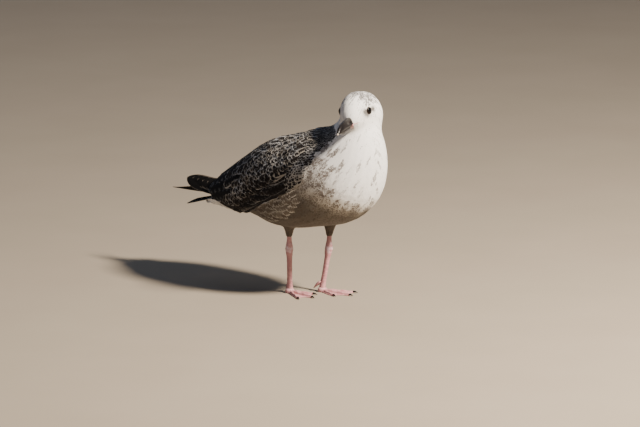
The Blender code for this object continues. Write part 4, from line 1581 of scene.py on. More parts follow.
# station, angle, length and width, the feathers on top last
TERTIALS = (
    (118.0, 92.0, 58.0, 21.0), (116.0, 74.0, 64.0, 23.0), (114.0, 54.0, 68.0, 24.0),
    (112.0, 30.0, 68.0, 24.0), (92.0, 98.0, 68.0, 22.0), (90.0, 82.0, 78.0, 24.0),
    (86.0, 65.0, 86.0, 25.0), (84.0, 47.0, 90.0, 26.0), (82.0, 29.0, 94.0, 26.0),
    (84.0, 13.0, 94.0, 24.0), (80.0, 3.0, 94.0, 20.0),
)


@dataclass
class FoldedWing:
    """Scapulars, coverts, secondaries and tertials of one folded wing."""

    side: float
    surface: Surface
    seed: int
    low_edge: tuple[tuple[float, float], ...] = (
        (-74, 66), (-62, 86), (-38, 99), (-8, 108), (26, 117), (50, 128), (74, 132), (101, 130),
        (128, 124), (156, 113), (174, 94), (181, 76),
    )

    def spot(self, y: float, angle: float) -> Array | None:
        """The outermost place at a station and an angle round the wing's axis."""
        a = math.radians(angle)
        start = np.array([0.0, y, WING_AXIS[0] + WING_AXIS[1] * y])
        found = self.surface.outermost(start, np.array([self.side * math.sin(a), 0.0, math.cos(a)]))
        return None if found is None else found[0]

    def tertials(self, plumes: Plumes, layer: Layer, chance: np.random.Generator) -> None:
        """Long broad feathers that cover the folded quills, the inmost on top."""
        vane = Vane(7, 14, 0.66, 0.45, 0.05, 0.02, 0.010, 0.02)
        for k, (y, angle, *size) in enumerate(TERTIALS):
            root = self.spot(y, angle)
            if root is None:
                continue
            heading = np.array([-self.side * 0.02 * k, 1.0, -0.24])
            laid = layer.lay(vane, root, heading, size, (-0.4 + 0.1 * k, 0.3 + 0.22 * k), free=0.91)
            pale = Hue.FRINGE.rgb * chance.uniform(0.75, 1.1)
            dark = Hue.SLATE.rgb * chance.uniform(0.8, 1.3)
            fringe = 0.024 * chance.uniform(0.6, 1.4)
            plumes.add(laid, even_looks(laid, pale, dark, fringe, 0.3 * chance.uniform(0.0, 1.2)))

    def build(self) -> Thing:
        """All the large feathers of this wing."""
        chance = np.random.default_rng(self.seed)
        name = "left" if self.side > 0 else "right"
        plumes = Plumes(f"wing_feathers_{name}", MOTTLED_PLUMAGE)
        layer = Layer(self.surface)
        self.fill(SECONDARIES, plumes, layer, chance)
        self.tertials(plumes, layer, chance)
        for row in (*COVERTS, *SCAPULARS):
            self.fill(row, plumes, layer, chance)
        return plumes.build(patch=0.02)

    def fill(self, row: FeatherRow, plumes: Plumes, layer: Layer, chance: np.random.Generator) -> None:
        """Lays one row."""
        first, last, _ = row.ys
        loose = 1.0 if row.from_edge else 2.6
        for y in np.arange(*row.ys):
            share = (y - first) / max(last - first, 1.0)
            edge = float(between(self.low_edge, y)[0]) if row.from_edge else 0.0
            for angle in row.angles:
                station = y + loose * chance.uniform(-1.0, 1.0)
                root = self.spot(station, edge + angle + loose * chance.uniform(-1.0, 1.0))
                if root is None:
                    continue
                turn = math.radians(edge + angle)
                length = at(row.length, share) * chance.uniform(0.88, 1.10)
                width = at(row.width, share) * chance.uniform(0.86, 1.10)
                droop = row.droop if row.from_edge else row.droop + 0.10 * (angle - 30.0)
                droop = droop + chance.uniform(-7.0, 7.0)
                outward = np.array([self.side * math.cos(turn), 0.0, -math.sin(turn)])
                heading = np.array([0.0, 1.0, -0.21]) + outward * math.tan(math.radians(droop))
                heights = (row.heights[0], row.heights[1] + chance.uniform(-0.15, 0.15))
                bend = chance.uniform(-5, 5)
                laid = layer.lay(row.vane, root, heading, (length, width), heights, bend)
                plumes.add(laid, self.looks(row, root, laid, chance))

    @staticmethod
    def looks(row: FeatherRow, root: Array, laid: Laid, chance: np.random.Generator) -> Looks:
        """A dark feather with a pale fringe and notches, paler at the bend of the wing, partly as painted
        sunlight.
        """
        pale = part_way(Hue.FRINGE.rgb, Hue.BUFF.rgb, chance.uniform(0.0, 0.8)) * chance.uniform(0.4, 1.1)
        plain = part_way(Hue.UMBER.rgb, Hue.SLATE.rgb, chance.uniform(0.0, 1.0))
        dark = plain * chance.uniform(0.75, 1.4)
        dark = dark + (Hue.BELLY.rgb - plain) * max(0.0, row.paler) * chance.uniform(0.0, 0.6)
        # paler at the bend of the wing: partly its paler coverts, partly a painted patch of sunlight
        bend = math.exp(-(((root[1] + 48.0) / 24.0) ** 2) - ((root[2] - 190.0) / 15.0) ** 2)
        pale = part_way(pale, Hue.BUFF.rgb * 1.25, 0.7 * bend)
        fringe = (row.fringe + 0.08 * bend) * chance.uniform(0.6, 2.1)
        return even_looks(laid, pale, dark, fringe, row.notch * chance.uniform(0.3, 1.35))


def stretched(vane: Vane, start: Array, end: Array, up: Array, width: float, sag: float) -> Laid:
    """A feather between two places, bowed by its sag."""
    us, vs, high, faces = vane.grid()
    way = unit(end - start)
    lift = unit(up - (up @ way) * way)
    across = np.cross(way, lift)
    rise = high * width + sag * np.sin(vs * math.pi)
    points = start + (end - start) * vs[:, None] + across * (us * vane.half(vs) * width)[:, None]
    return points + lift * rise[:, None], faces, vane.map_places(us, vs)


def staggered(
    rows: Sequence[tuple[float, ...]], half: float, count: int, shift: float
) -> Iterable[tuple[int, float, tuple[float, ...]]]:
    """Each row's number, each feather's place across, and the row; odd rows are shifted."""
    for k, row in enumerate(rows):
        for x in np.linspace(-half, half, count) + (shift if k % 2 else 0.0):
            yield k, x, row


@dataclass
class LooseCoverts:
    """Long soft feathers over the wing's lower edge, and above and below the root of the tail."""

    surface: Surface
    wings: tuple[FoldedWing, FoldedWing]

    def flanks(self) -> Thing:
        """Three rows beside each wing that end in a rounded tuft."""
        chance = np.random.default_rng(17)
        plumes = Plumes("flank_feathers", STREAKED_PLUMAGE)
        layer = Layer(self.surface)
        vane = Vane(7, 9, 0.62, 0.45, 0.05, 0.015, 0.008, 0.10)
        rows = ((26.0, -0.22, 22.0), (17.0, -0.36, 17.0), (8.0, -0.5, 12.0))
        front, length = -56.0, 78.0
        for wing in self.wings:
            for row, (below, slope, last) in enumerate(rows):
                for y in np.arange(front + 4.0 * row, last, 6.5)[::-1]:
                    edge = float(between(wing.low_edge, y)[0])
                    root = wing.spot(y + chance.uniform(-2.0, 2.0), edge + below + chance.uniform(-3.0, 3.0))
                    share = (y - front) / length
                    rise = slope + 0.30 * max(0.0, share - 0.3) + chance.uniform(-0.14, 0.14)
                    long = 21.0 + 9.0 * share + chance.uniform(-3, 2)
                    size = (long, 10.0 + 3.0 * share + chance.uniform(-1, 1))
                    heights = (-0.5, 0.7 + 0.35 * row + chance.uniform(-0.15, 0.15))
                    laid = layer.lay(vane, root, np.array([0.0, 1.0, rise]), size, heights)
                    # painted shade: each flank feather's colours are darkened, more towards the rear
                    shade = 0.9 - 0.4 * float(smoothstep(0.0, 0.55, share))
                    pale = part_way(Hue.ASH.rgb, Hue.CREAM.rgb, chance.uniform(-0.3, 0.8)) * shade
                    dark = part_way(Hue.STREAK.rgb, Hue.BELLY.rgb, chance.uniform(0.0, 1.3)) * shade
                    fringe = chance.uniform(0.03, 0.12)
                    plumes.add(laid, even_looks(laid, pale, dark, fringe, chance.uniform(0.3, 1.1)))
        return plumes.build(patch=0.01)

    @staticmethod
    def rump() -> Thing:
        """Dark feathers from under the longest tertials down to the folded quills."""
        chance = np.random.default_rng(29)
        plumes = Plumes("rump_feathers", MOTTLED_PLUMAGE)
        vane = Vane(7, 9, 0.6, 0.5, 0.05, 0.02, 0.010, 0.05)
        rows = ((150.0, 139.5, 190.0, -6.0), (144.0, 142.5, 186.0, -7.0), (138.0, 146.0, 180.0, -9.0))
        for _, x, (y, z, far, drop) in staggered(rows, 18.0, 6, 3.0):
            start = np.array([x, y, z - 0.008 * x * x])
            end = np.array([x * 0.8, far + chance.uniform(-2, 2) - 0.012 * x * x, z + drop - 0.012 * x * x])
            laid = stretched(vane, start, end, np.array([0.05 * x, 0.0, 1.0]), 14.0, 0.8)
            pale, dark = Hue.FRINGE.rgb * chance.uniform(0.4, 0.9), Hue.SLATE.rgb * chance.uniform(0.9, 1.4)
            plumes.add(laid, even_looks(laid, pale, dark, 0.03, chance.uniform(0.0, 0.4)))
        return plumes.build(patch=0.02)

    @staticmethod
    def tail_coverts() -> Thing:
        """White feathers that fair the rump and the vent into the tail."""
        chance = np.random.default_rng(23)
        plumes = Plumes("tail_coverts", WHITE_PLUMAGE)
        vane = Vane(5, 9, 0.6, 0.5, 0.15, 0.05, 0.02, 0.08)

        def add(laid: Laid, least: float, streak: float, often: float) -> None:
            """Adds a white feather, now and then with a streak."""
            white = Hue.SNOW.rgb * chance.uniform(least, 1.0)
            drawn = streak * (chance.uniform() < often)
            plumes.add(laid, even_looks(laid, white, Hue.STREAK.rgb, 2.0, 0.0, drawn))

        above = (
            (150.0, 121.5, 186.0, -8.0), (140.0, 124.0, 176.0, -7.5), (128.0, 127.0, 164.0, -7.0),
            (116.0, 131.0, 150.0, -6.0),
        )
        for _, x, (y, z, far, drop) in staggered(above, 17.0, 6, 2.5):
            start = np.array([x * 0.8, y, z - 0.004 * x * x])
            end = np.array([x * 1.15, far + chance.uniform(-2, 2) - 0.02 * x * x, z + drop - 0.008 * x * x])
            add(stretched(vane, start, end, np.array([0.05 * x, 0.0, 1.0]), 13.0, 1.0), 0.88, 0.35, 0.25)
        below = (
            (150.0, 108.0, 190.0, 107.0), (138.0, 105.5, 179.0, 108.0), (124.0, 104.0, 166.0, 106.5),
            (112.0, 103.0, 152.0, 104.5),
        )
        for row, x, (y, z, far, end_z) in staggered(below, 20.0, 7, 2.5):
            start = np.array([x * 0.9, y, z + 0.008 * x * x + 1.5])
            end_z = end_z + 0.012 * x * x + (3 - row) * 0.6
            end = np.array([x * (1.0 - 0.1 * row / 3), far - 0.03 * x * x, end_z])
            add(stretched(vane, start, end, np.array([0.05 * x, 0.0, -1.0]), 14.0, 1.6), 0.85, 0.3, 0.2)
        return plumes.build(patch=0.02)

    def build(self) -> None:
        """Flanks, rump and tail coverts."""
        self.flanks()
        self.rump()
        self.tail_coverts()


def on_curve(path: Sequence[Sequence[float]], t: Array) -> tuple[Array, Array]:
    """Points and directions on a three-point curve."""
    a, b, c = (np.asarray(p, float) for p in path)
    t = np.asarray(t, float)[:, None]
    return (1 - t) ** 2 * a + 2 * (1 - t) * t * b + t**2 * c, unit((1 - t) * (b - a) + t * (c - b))


def upward(ways: Array) -> Array:
    """Unit directions, turned over where they point down."""
    ways = unit(ways)
    return np.where(ways[:, 2:3] > 0, ways, -ways)


@dataclass
class QuillBlade:
    """The long wing quills of one side, stacked into a blade: the longest outermost and lowest."""

    name: str
    path: tuple[tuple[float, float, float], ...]
    across: tuple[float, float, float]
    widths: tuple[tuple[float, float], ...]
    rounded: float
    seed: int
    count: int = 6
    shorter: float = 0.115
    stack: float = 0.34

    def build(self) -> Thing:
        """The blade's feathers in one piece."""
        chance = np.random.default_rng(self.seed)
        plumes = Plumes(self.name + "_feathers", DARK_QUILLS)
        across = unit(np.array(self.across))
        tip = self.rounded
        for k in range(self.count):
            end = 1.0 - self.shorter * k
            vane = Vane(7, 26, 0.5, 0.8, 0.0, 0.05, 0.03, shoulder=0.01, seed=k)
            us, vs, high, faces = vane.grid()
            centre, way = on_curve(self.path, vs * end)
            own = np.sqrt(np.clip(1.0 - (np.clip(vs - (1.0 - tip), 0.0, tip) / tip) ** 2, 0.0, 1.0))
            half, shift = between(self.widths, vs * end)[0], 0.0
            if k:
                half, shift = half * own * 0.78, 0.22 * between(self.widths, end)[0]
            else:
                half = half * np.maximum(own, 0.12)
            rise = -0.5 + self.stack * k + high * 14.0
            sweep = across * (-(us * half + shift * smoothstep(0.2, 0.9, vs)))[:, None]
            points = centre + sweep + upward(np.cross(way, across)) * rise[:, None]
            laid = (points, faces, vane.map_places(us, vs))
            dark = Hue.SOOT.rgb * chance.uniform(0.9, 1.35)
            plumes.add(laid, even_looks(laid, Hue.BELLY.rgb * 0.8, dark, 0.012 + 0.004 * k, 0.0))
        return plumes.build(self.name, patch=0.06)


@dataclass
class TailFan:
    """The closed tail: white at its root, with a dark end band and pale tips."""

    path: tuple[tuple[float, float, float], ...] = ((0, 128, 127), (-1, 172, 117), (-2, 215, 106))
    count: int = 11
    width: float = 17.0

    def build(self) -> Thing:
        """The tail's feathers in one piece."""
        chance = np.random.default_rng(31)
        plumes = Plumes("tail_feathers", DARK_QUILLS)
        side = np.array([1.0, 0.0, 0.02])
        for order in range(self.count):
            # from the outermost pair to the middle feather, which lies on top
            pair, hand = divmod(order, 2)
            place = 1.0 - pair / (self.count // 2) if order < self.count - 1 else 0.0
            aside = place * (1.0 if hand else -1.0)
            vane = Vane(5, 14, 0.75, 0.6, 0.5, 0.02, 0.012, 0.0, 0.03, seed=order)
            us, vs, high, faces = vane.grid()
            reach = 0.985 - 0.03 * abs(aside)
            centre, way = on_curve(self.path, 0.02 + vs * (reach - 0.02))
            spread = aside * np.interp(vs, (0.0, 0.9, 1.0), (9.0, 24.5, 23.0))
            x = spread + us * vane.half(vs) * self.width
            height = -0.6 + 0.25 * pair + 3.2 * np.clip(1 - (x / 32.0) ** 2, -0.3, 1) - 1.2 + high * 10.0
            points = centre + side * x[:, None] + upward(np.cross(side, way)) * height[:, None]
            laid = (points, faces, vane.map_places(us, vs))
            dark = Hue.SOOT.rgb * chance.uniform(0.9, 1.4)
            looks = even_looks(laid, Hue.CREAM.rgb * 0.9, dark, 0.007, 0.0)
            band = smoothstep(0.42, 0.5, vs + 0.05 * np.sin(us * 9.0 + order))
            looks.mark = part_way(Hue.SNOW.rgb, dark, band)
            plumes.add(laid, looks)
        return plumes.build("tail", patch=0.06)


# ---------------------------------------------------------------- bare parts

class Loft:
    """Closed skins over rings of points, gathered into one mesh with point attributes."""

    def __init__(self, *tubes: Sequence[Array]) -> None:
        """Starts with some tubes."""
        self.points: list[Array] = []
        self.faces: list[tuple[int, ...]] = []
        self.count = 0
        for rings in tubes:
            self.add(rings)

    def add(self, rings: Sequence[Array]) -> None:
        """Adds a closed tube through rings of equal length, capped at both ends."""
        sides, start = len(rings[0]), self.count
        last = start + (len(rings) - 1) * sides
        low, high = last + sides, last + sides + 1
        for k in range(start, last, sides):
            for j in range(sides):
                a, b = k + j, k + (j + 1) % sides
                self.faces.append((a, b, b + sides, a + sides))
        for j in range(sides):
            after = (j + 1) % sides
            self.faces.append((start + after, start + j, low))
            self.faces.append((last + j, last + after, high))
        self.points.extend([*rings, np.array([rings[0].mean(0), rings[-1].mean(0)])])
        self.count = high + 1

    def mesh(self, name: str, **attributes: Callable[[Array], Array]) -> Mesh:
        """The mesh, its faces turned outwards, with attributes worked out from its points.

        Args:
            name: Name of the mesh.
            **attributes: Functions from points to values, one or three columns.

        Returns:
            The finished mesh.
        """
        points = np.concatenate(self.points)
        made = mesh_of(name, points, self.faces)
        face_outwards(made)
        for key, rule in attributes.items():
            values = rule(points)
            put_attribute(made, key.capitalize(), "FLOAT" if values.ndim == 1 else "FLOAT_VECTOR", values)
        made.update()
        return made


def slightly_worn(points: Array) -> Array:
    """A little mealiness all over a piece of bare skin."""
    return np.full(len(points), 0.1)
@dataclass
class Bill:
    """The two mandibles, the fleshy corners of the mouth, and the nostrils.

    A station holds the distance forward, the heights of ridge, mouth line and keel, and the
    half width; the nostril its place forward and up, its half length and its half height.
    """

    stations: tuple[tuple[float, ...], ...] = (
        (18, -1.6, -12.4, -20.0, 6.6), (26, -0.8, -12.4, -20.8, 7.2), (35, -1.8, -12.8, -21.0, 6.6),
        (44, -2.6, -13.1, -21.1, 5.7), (54, -3.1, -13.6, -21.5, 4.9), (63, -4.2, -14.1, -22.2, 4.4),
        (70, -6.0, -14.5, -20.8, 3.9), (76, -8.7, -14.9, -18.6, 3.2), (81, -12.6, -15.8, -17.0, 2.2),
        (84, -16.8, -17.8, -18.0, 0.8),
    )
    nostril: tuple[float, float, float, float] = (47.5, -8.0, 4.2, 0.85)
    ends: tuple[tuple[str, bool, float], ...] = (("bill_upper", True, 84.0), ("bill_lower", False, 80.5))

    def ring(self, forward: float, upper: bool) -> Array:
        """One cross-section of a mandible, in bird millimetres."""
        ridge, edge, keel, half = between(self.stations, forward)
        turn = np.radians(np.linspace(0.0, 360.0, 44, endpoint=False))
        cosine, sine = np.cos(turn), np.sin(turn)
        wide = half * np.sign(cosine) * np.abs(cosine) ** 0.9
        if upper:
            up = edge + np.where(sine > 0, (ridge - edge) * np.abs(sine) ** 0.85, -0.35 * np.abs(sine))
            f0, u0, long, tall = self.nostril
            dent = np.exp(-(((forward - f0) / long) ** 4) - ((up - u0) / tall) ** 2) * (sine > 0)
            groove = np.exp(-(((forward - f0 + 3.0) / 9.0) ** 4) - ((up - u0) / 2.6) ** 2) * (sine > 0)
            wide = wide - np.sign(wide) * (1.5 * dent + 0.35 * groove)
        else:
            top = edge - 0.4
            up = top + np.where(sine < 0, -(top - keel) * np.abs(sine) ** 0.8, 0.25 * np.abs(sine))
            wide = 0.88 * wide
        return np.array([in_head(forward, w, u) for w, u in zip(wide, up)])

    def paleness(self, upper: bool) -> Callable[[Array], Array]:
        """How pale the horn is at its root and tip, and where it is fleshy."""

        def rule(points: Array) -> Array:
            """Root, tip and flesh shares."""
            head = head_coordinates(points)
            forward, up = head[:, 0], head[:, 2]
            if upper:
                root = smoothstep(46.0, 30.0, forward) * smoothstep(-8.0, -12.0, up) * 0.9
                tip = smoothstep(82.0, 83.6, forward) * 0.9
            else:
                root = smoothstep(60.0, 34.0, forward) * (0.55 + 0.35 * smoothstep(-20.0, -15.0, up))
                tip = np.zeros(len(points))
            flesh = smoothstep(33.0, 28.0, forward) * smoothstep(2.6, 1.0, np.abs(up + 12.7))
            return np.stack([root, tip, flesh], axis=1)

        return rule

    def mouth_corner(self, side: float, surface: Surface) -> list[Array]:
        """Rings of the fold that runs back from one corner of the mouth."""
        rings = []
        turns = np.radians(np.arange(0, 360, 36))
        for share, forward in zip(np.linspace(0.0, 1.0, 18), np.linspace(42.0, 31.0, 18)):
            up = -12.9 + 1.9 * share
            start = in_head(forward, 0.0, up)
            found = surface.outermost(start, HEAD_AXES @ np.array([side, 0.0, 0.0]), 40.0)
            out = between(self.stations, forward)[3] if forward > 33.0 else 0.0
            place = found[0] if found is not None else start
            reach = max(abs((place - HEAD_AT) @ HEAD_AXES[:, 0]), out)
            radius = 1.25 * (1.0 - share) ** 0.7 + 0.15
            flat = [radius * 0.7 * np.cos(turns), 0.0 * turns, radius * 0.62 * np.sin(turns)]
            rings.append(in_head(forward, side * (reach + 0.35), up) + np.stack(flat, axis=1) @ HEAD_AXES.T)
        return rings

    def build(self, surface: Surface) -> None:
        """Both mandibles and the mouth corners."""
        for name, upper, last in self.ends:
            loft = Loft([self.ring(f, upper) for f in np.linspace(18.5, last, 60)])
            mesh = loft.mesh(name, layout=self.paleness(upper))
            piece(name + "_horn", mesh, BILL_HORN, name)
        loft = Loft(*(self.mouth_corner(side, surface) for side in (1.0, -1.0)))
        mesh = loft.mesh("mouth_corners", worn=slightly_worn)
        piece("mouth_corners", mesh, MOUTH_SKIN)


@dataclass
class Eye:
    """An eyeball and the lids round it."""

    place: EyePlace
    name: str

    def frame(self) -> tuple[Array, Array]:
        """Two directions across the eye: forward and up."""
        forward = unit(HEAD_AXES @ np.array([0.0, -1.0, 0.0]))
        forward = unit(forward - (forward @ self.place.axis) * self.place.axis)
        up = np.cross(self.place.axis, forward)
        return forward, up if up[2] > 0 else -up

    def build(self) -> None:
        """Eyeball with its iris, and the rim of the lids."""
        shell = bmesh.new()
        bmesh.ops.create_uvsphere(shell, u_segments=48, v_segments=32, radius=1.0)
        mesh = bpy.data.meshes.new(self.name)
        shell.to_mesh(mesh)
        shell.free()
        local = rows_of(mesh.vertices, "co", 3).astype(float)
        forward, up = self.frame()
        turned = local[:, 2:3] * self.place.axis + local[:, 0:1] * forward + local[:, 1:2] * up
        off = np.arccos(np.clip(local[:, 2], -1, 1))
        bulge = 1.0 + 0.035 * np.exp(-((off / 0.6) ** 2))
        move_points(mesh, self.place.centre + turned * (self.place.radius * bulge)[:, None])
        put_attribute(mesh, "Iris", "FLOAT", off / (math.pi / 2))
        face_outwards(mesh)
        piece(self.name + "_ball", mesh, EYE_GLOSS, self.name)
        self.lids()

    def rim(self, a: float, out: float = 0.0) -> Array:
        """A place on the edge of the lids, on the eyeball."""
        forward, up = self.frame()
        wide = self.place.opening + out
        tall = wide * (0.90 if math.sin(a) > 0 else 0.94)
        flat = forward * (wide * math.cos(a)) + up * (tall * math.sin(a))
        high = math.sqrt(max(self.place.radius**2 - float(flat @ flat), 1.0))
        return self.place.centre + flat + self.place.axis * (high + 0.25)

    def lids(self, around: int = 48, across: int = 10) -> None:
        """A rounded rim all round the opening, a little heavier above."""
        points, faces = [], []
        for i, a in enumerate(np.linspace(0.0, math.tau, around, endpoint=False)):
            centre = self.rim(a)
            outward = unit(self.rim(a, 0.5) - centre)
            high = unit(centre - self.place.centre)
            radius = 0.46 + 0.14 * max(math.sin(a), 0.0)
            here, there = i * across, (i + 1) % around * across
            for j in range(across):
                b = j * math.tau / across
                out, up = radius * math.cos(b), 0.75 * radius * math.sin(b)
                points.append(centre + outward * out + high * up)
                after = (j + 1) % across
                faces.append((here + j, here + after, there + after, there + j))
        mesh = mesh_of(self.name + "_lids", np.array(points), faces)
        face_outwards(mesh)
        piece(self.name + "_lids", mesh, LID_SKIN)


@dataclass
class Leg:
    """Shank, webbed foot, hind toe and claws of one side.

    A toe holds its name, its angle outwards, its length and its thickness at the root. The
    stations of claw and hind toe hold how far ahead or back, how high and how thick.
    """

    side: float
    foot: tuple[float, float, float]
    heel: tuple[float, float, float]
    hip: tuple[float, float, float]
    toes: tuple[tuple[str, float, float, float], ...] = (
        ("inner", -27.0, 37.0, 2.6), ("middle", -1.0, 49.0, 3.0), ("outer", 24.0, 46.0, 2.7),
    )
    claw: tuple[tuple[float, float, float], ...] = (
        (-1.6, 2.2, 1.25), (0.4, 2.25, 1.4), (2.4, 2.2, 1.15), (4.4, 1.6, 0.75), (5.6, 1.1, 0.45),
        (6.2, 0.75, 0.2),
    )
    hind_toe: tuple[tuple[float, float, float], ...] = (
        (2.0, 14.4, 2.2), (4.2, 13.0, 2.3), (6.4, 11.4, 2.3), (8.2, 9.9, 2.0), (9.6, 8.4, 1.7),
        (11.0, 7.0, 1.3), (12.2, 5.6, 0.9), (12.9, 4.8, 0.55), (13.4, 4.0, 0.25),
    )
    splay: float = 7.0
    scute: float = 2.3
    ankle: float = 7.4

    @property
    def name(self) -> str:
        """Left or right."""
        return "left" if self.side > 0 else "right"

    @staticmethod
    def line(start: Array, end: Array, z: float) -> Array:
        """The point at height z on a line."""
        return start + (end - start) * (z - start[2]) / (end[2] - start[2])

    def shank(self) -> None:
        """Bare shank: a knobbly heel, and broad scutes down the front of the tarsus."""
        top = np.array(self.foot) + (0.0, 0.0, self.ankle)
        heel, hip = np.array(self.heel, float), np.array(self.hip, float)
        bare = heel[2] + 19.0
        table = [
            (2.0, 4.4, 5.0), (7.8, 4.1, 4.7), (13.0, 3.5, 4.3), (22.0, 3.1, 4.0), (heel[2] - 25, 3.1, 4.0),
            (heel[2] - 12, 3.4, 4.3), (heel[2] - 6, 4.4, 5.2), (heel[2], 5.1, 5.9),
            (heel[2] + 6, 4.5, 5.1), (heel[2] + 12, 3.4, 3.8), (bare + 3.0, 3.0, 3.3),
        ]
        turns = np.radians(np.arange(0, 360, 12))
        cosine, sine = np.cos(turns), np.sin(turns)
        front, back = smoothstep(0.1, 0.75, -sine), smoothstep(0.3, 0.8, sine)
        rings = []
        for z in np.arange(3.0, bare + 3.0, 0.42):
            centre = self.line(top, heel, z) if z < heel[2] else self.line(heel, hip, z)
            wide, deep = between(table, z)
            plate = 0.34 * ((z / self.scute) % 1.0) ** 0.6 * (1.0 if z < heel[2] - 7 else 0.35)
            pad = 0.22 * math.sin(z * math.tau / 1.5)
            knob = 0.5 * math.exp(-(((z - heel[2]) / 4.0) ** 2))
            lumps = 0.16 * np.sin(turns * 7.0 + z * 1.9) * np.sin(z * 2.6 + 1.3 * np.cos(turns * 3.0))
            relief = front * plate + back * pad * 0.5 + lumps * (1.0 - front) + knob * np.abs(cosine) * 0.6
            scale = 1.0 + relief / wide
            rings.append(centre + np.stack([wide * cosine * scale, deep * sine * scale, 0.0 * turns], axis=1))

        def worn(points: Array) -> Array:
            """Mealy skin on the heel and down the front; the heel's paleness is partly a painted highlight.
            """
            # painted highlight: the heel's knob is paler, as well as mealy
            joint = np.exp(-(((points[:, 2] - heel[2] - 1.0) / 9.0) ** 2))
            return 0.18 + 0.38 * joint + 0.12 * ripple(points, 3.0, 77)

        piece(f"shank_skin_{self.name}", Loft(rings).mesh("shank", worn=worn), LEG_SKIN, f"shank_{self.name}")

    def toe_point(self, angle: float, far: float, height: float) -> Array:
        """A place on the foot at a distance and an angle outwards from the toes' joint."""
        way = math.radians(angle) * self.side
        flat = np.array([math.sin(way), -math.cos(way), 0.0]) * far
        flat = turn_about("Z", self.side * self.splay) @ flat
        return np.array(self.foot, float) + flat + (0.0, 0.0, height)

    def web_edge(self, angle: float) -> float:
        """How far the foot reaches at an angle."""
        ends = sorted((a, length) for _, a, length, _ in self.toes)
        for toe, length in ends:
            if abs(angle - toe) <= 3.0:
                return length - 2.2 * (abs(angle - toe) / 3.0) ** 2
        for (a, long_a), (b, long_b) in zip(ends, ends[1:]):
            if a < angle < b:
                u = (angle - a) / (b - a)
                return (long_a * (1 - u) + long_b * u) * (1.0 - 0.62 * u * (1 - u)) - 2.0
        first, last = ends[0][0], ends[-1][0]
        out = min(abs(angle - first), abs(angle - last), 360.0 - abs(angle - first))
        reach = 3.0 / max(math.sin(math.radians(min(out, 90.0))), 0.06)
        return max(6.5, min(reach, 30.0))

    def height(self, angle: float, far: float) -> float:
        """Height of the foot's upper side, with scutes on the toes and folds in the web."""
        high = 1.15 + 0.22 * math.sin(far * 1.1 + angle * 0.35) * math.exp(-far / 60.0)
        for _, toe, length, root in self.toes:
            radius = root * (1.0 - 0.35 * min(far / length, 1.0))
            aside = far * math.sin(math.radians(min(abs(angle - toe), 90.0)))
            joint = 1.0 + 0.10 * math.cos(far * math.tau / (length / 3.0))
            if aside < radius:
                round_off = math.sqrt(1.0 - (aside / radius) ** 2)
                plate = 0.28 * ((-far / 1.9) % 1.0) * round_off
                high = max(high, 1.8 * radius * joint * round_off + plate)
        return max(high, self.ankle * math.exp(-((far / 7.5) ** 4)))

    def webbed_foot(self) -> None:
        """The three front toes with their webs."""
        angles = [*np.arange(-38.0, 36.0, 1.0), *np.arange(36.0, 322.0, 6.0)]
        edges = [self.web_edge(a) for a in angles]
        rings = [np.array([self.toe_point(a, edge * 0.99, 0.0) for a, edge in zip(angles, edges)])]
        for share in (1.0, 0.985, *np.linspace(0.95, 0.03, 44)):
            squeeze = 0.6 if share == 1.0 else 1.0
            rings.append(np.array([
                self.toe_point(a, edge * share, self.height(a, edge * share) * squeeze)
                for a, edge in zip(angles, edges)
            ]))
        mesh = Loft(rings).mesh("foot", worn=lambda p: np.clip(0.1 + 0.06 * p[:, 2], 0.0, 0.5))
        piece(f"foot_skin_{self.name}", mesh, LEG_SKIN, f"foot_{self.name}")

    def toe_rings(
        self, stations: Sequence[tuple[float, float, float]], angle: float, length: float = 0.0,
        lean: float = 0.0, flat: float = 1.0,
    ) -> list[Array]:
        """Rings of a claw or a hind toe.

        Args:
            stations: How far beyond the length, how high and how thick each ring is.
            angle: Direction of the toe.
            length: Where its stations start.
            lean: How far the tops of the rings lean outwards, as a share of their radius.
            flat: Height of a ring as a share of its width.

        Returns:
            The rings, twelve points each.
        """
        rings = []
        for far, high, radius in stations:
            wide = radius / (length or far)
            rings.append(np.array([
                self.toe_point(
                    angle + math.degrees(wide * math.cos(a)),
                    length + far + lean * radius * math.sin(a), high + flat * radius * math.sin(a),
                )
                for a in np.radians(np.arange(0, 360, 30))
            ]))
        return rings

    def claws(self) -> None:
        """A curved claw on each toe, and the raised hind toe with its own."""
        for toe, angle, length, _ in self.toes:
            name = f"claw_{self.name}_{toe}"
            mesh = Loft(self.toe_rings(self.claw, angle, length)).mesh(name)
            piece(name + "_horn", mesh, CLAW_HORN, name)
        rings = self.toe_rings(self.hind_toe, 196.0, lean=0.6, flat=0.8)
        mesh = Loft(rings).mesh("hind_toe", worn=slightly_worn)
        piece(f"hind_toe_skin_{self.name}", mesh, LEG_SKIN, f"hind_toe_{self.name}")

    def build(self) -> None:
        """All bare parts of the leg."""
        self.shank()
        self.webbed_foot()
        self.claws()


# ---------------------------------------------------------------- the studio

def way_from(azimuth: float, elevation: float) -> Array:
    """Direction towards a place at an azimuth and an elevation, in degrees; azimuth 0 is in front."""
    a, e = math.radians(azimuth), math.radians(elevation)
    return np.array([math.sin(a) * math.cos(e), -math.cos(a) * math.cos(e), math.sin(e)])


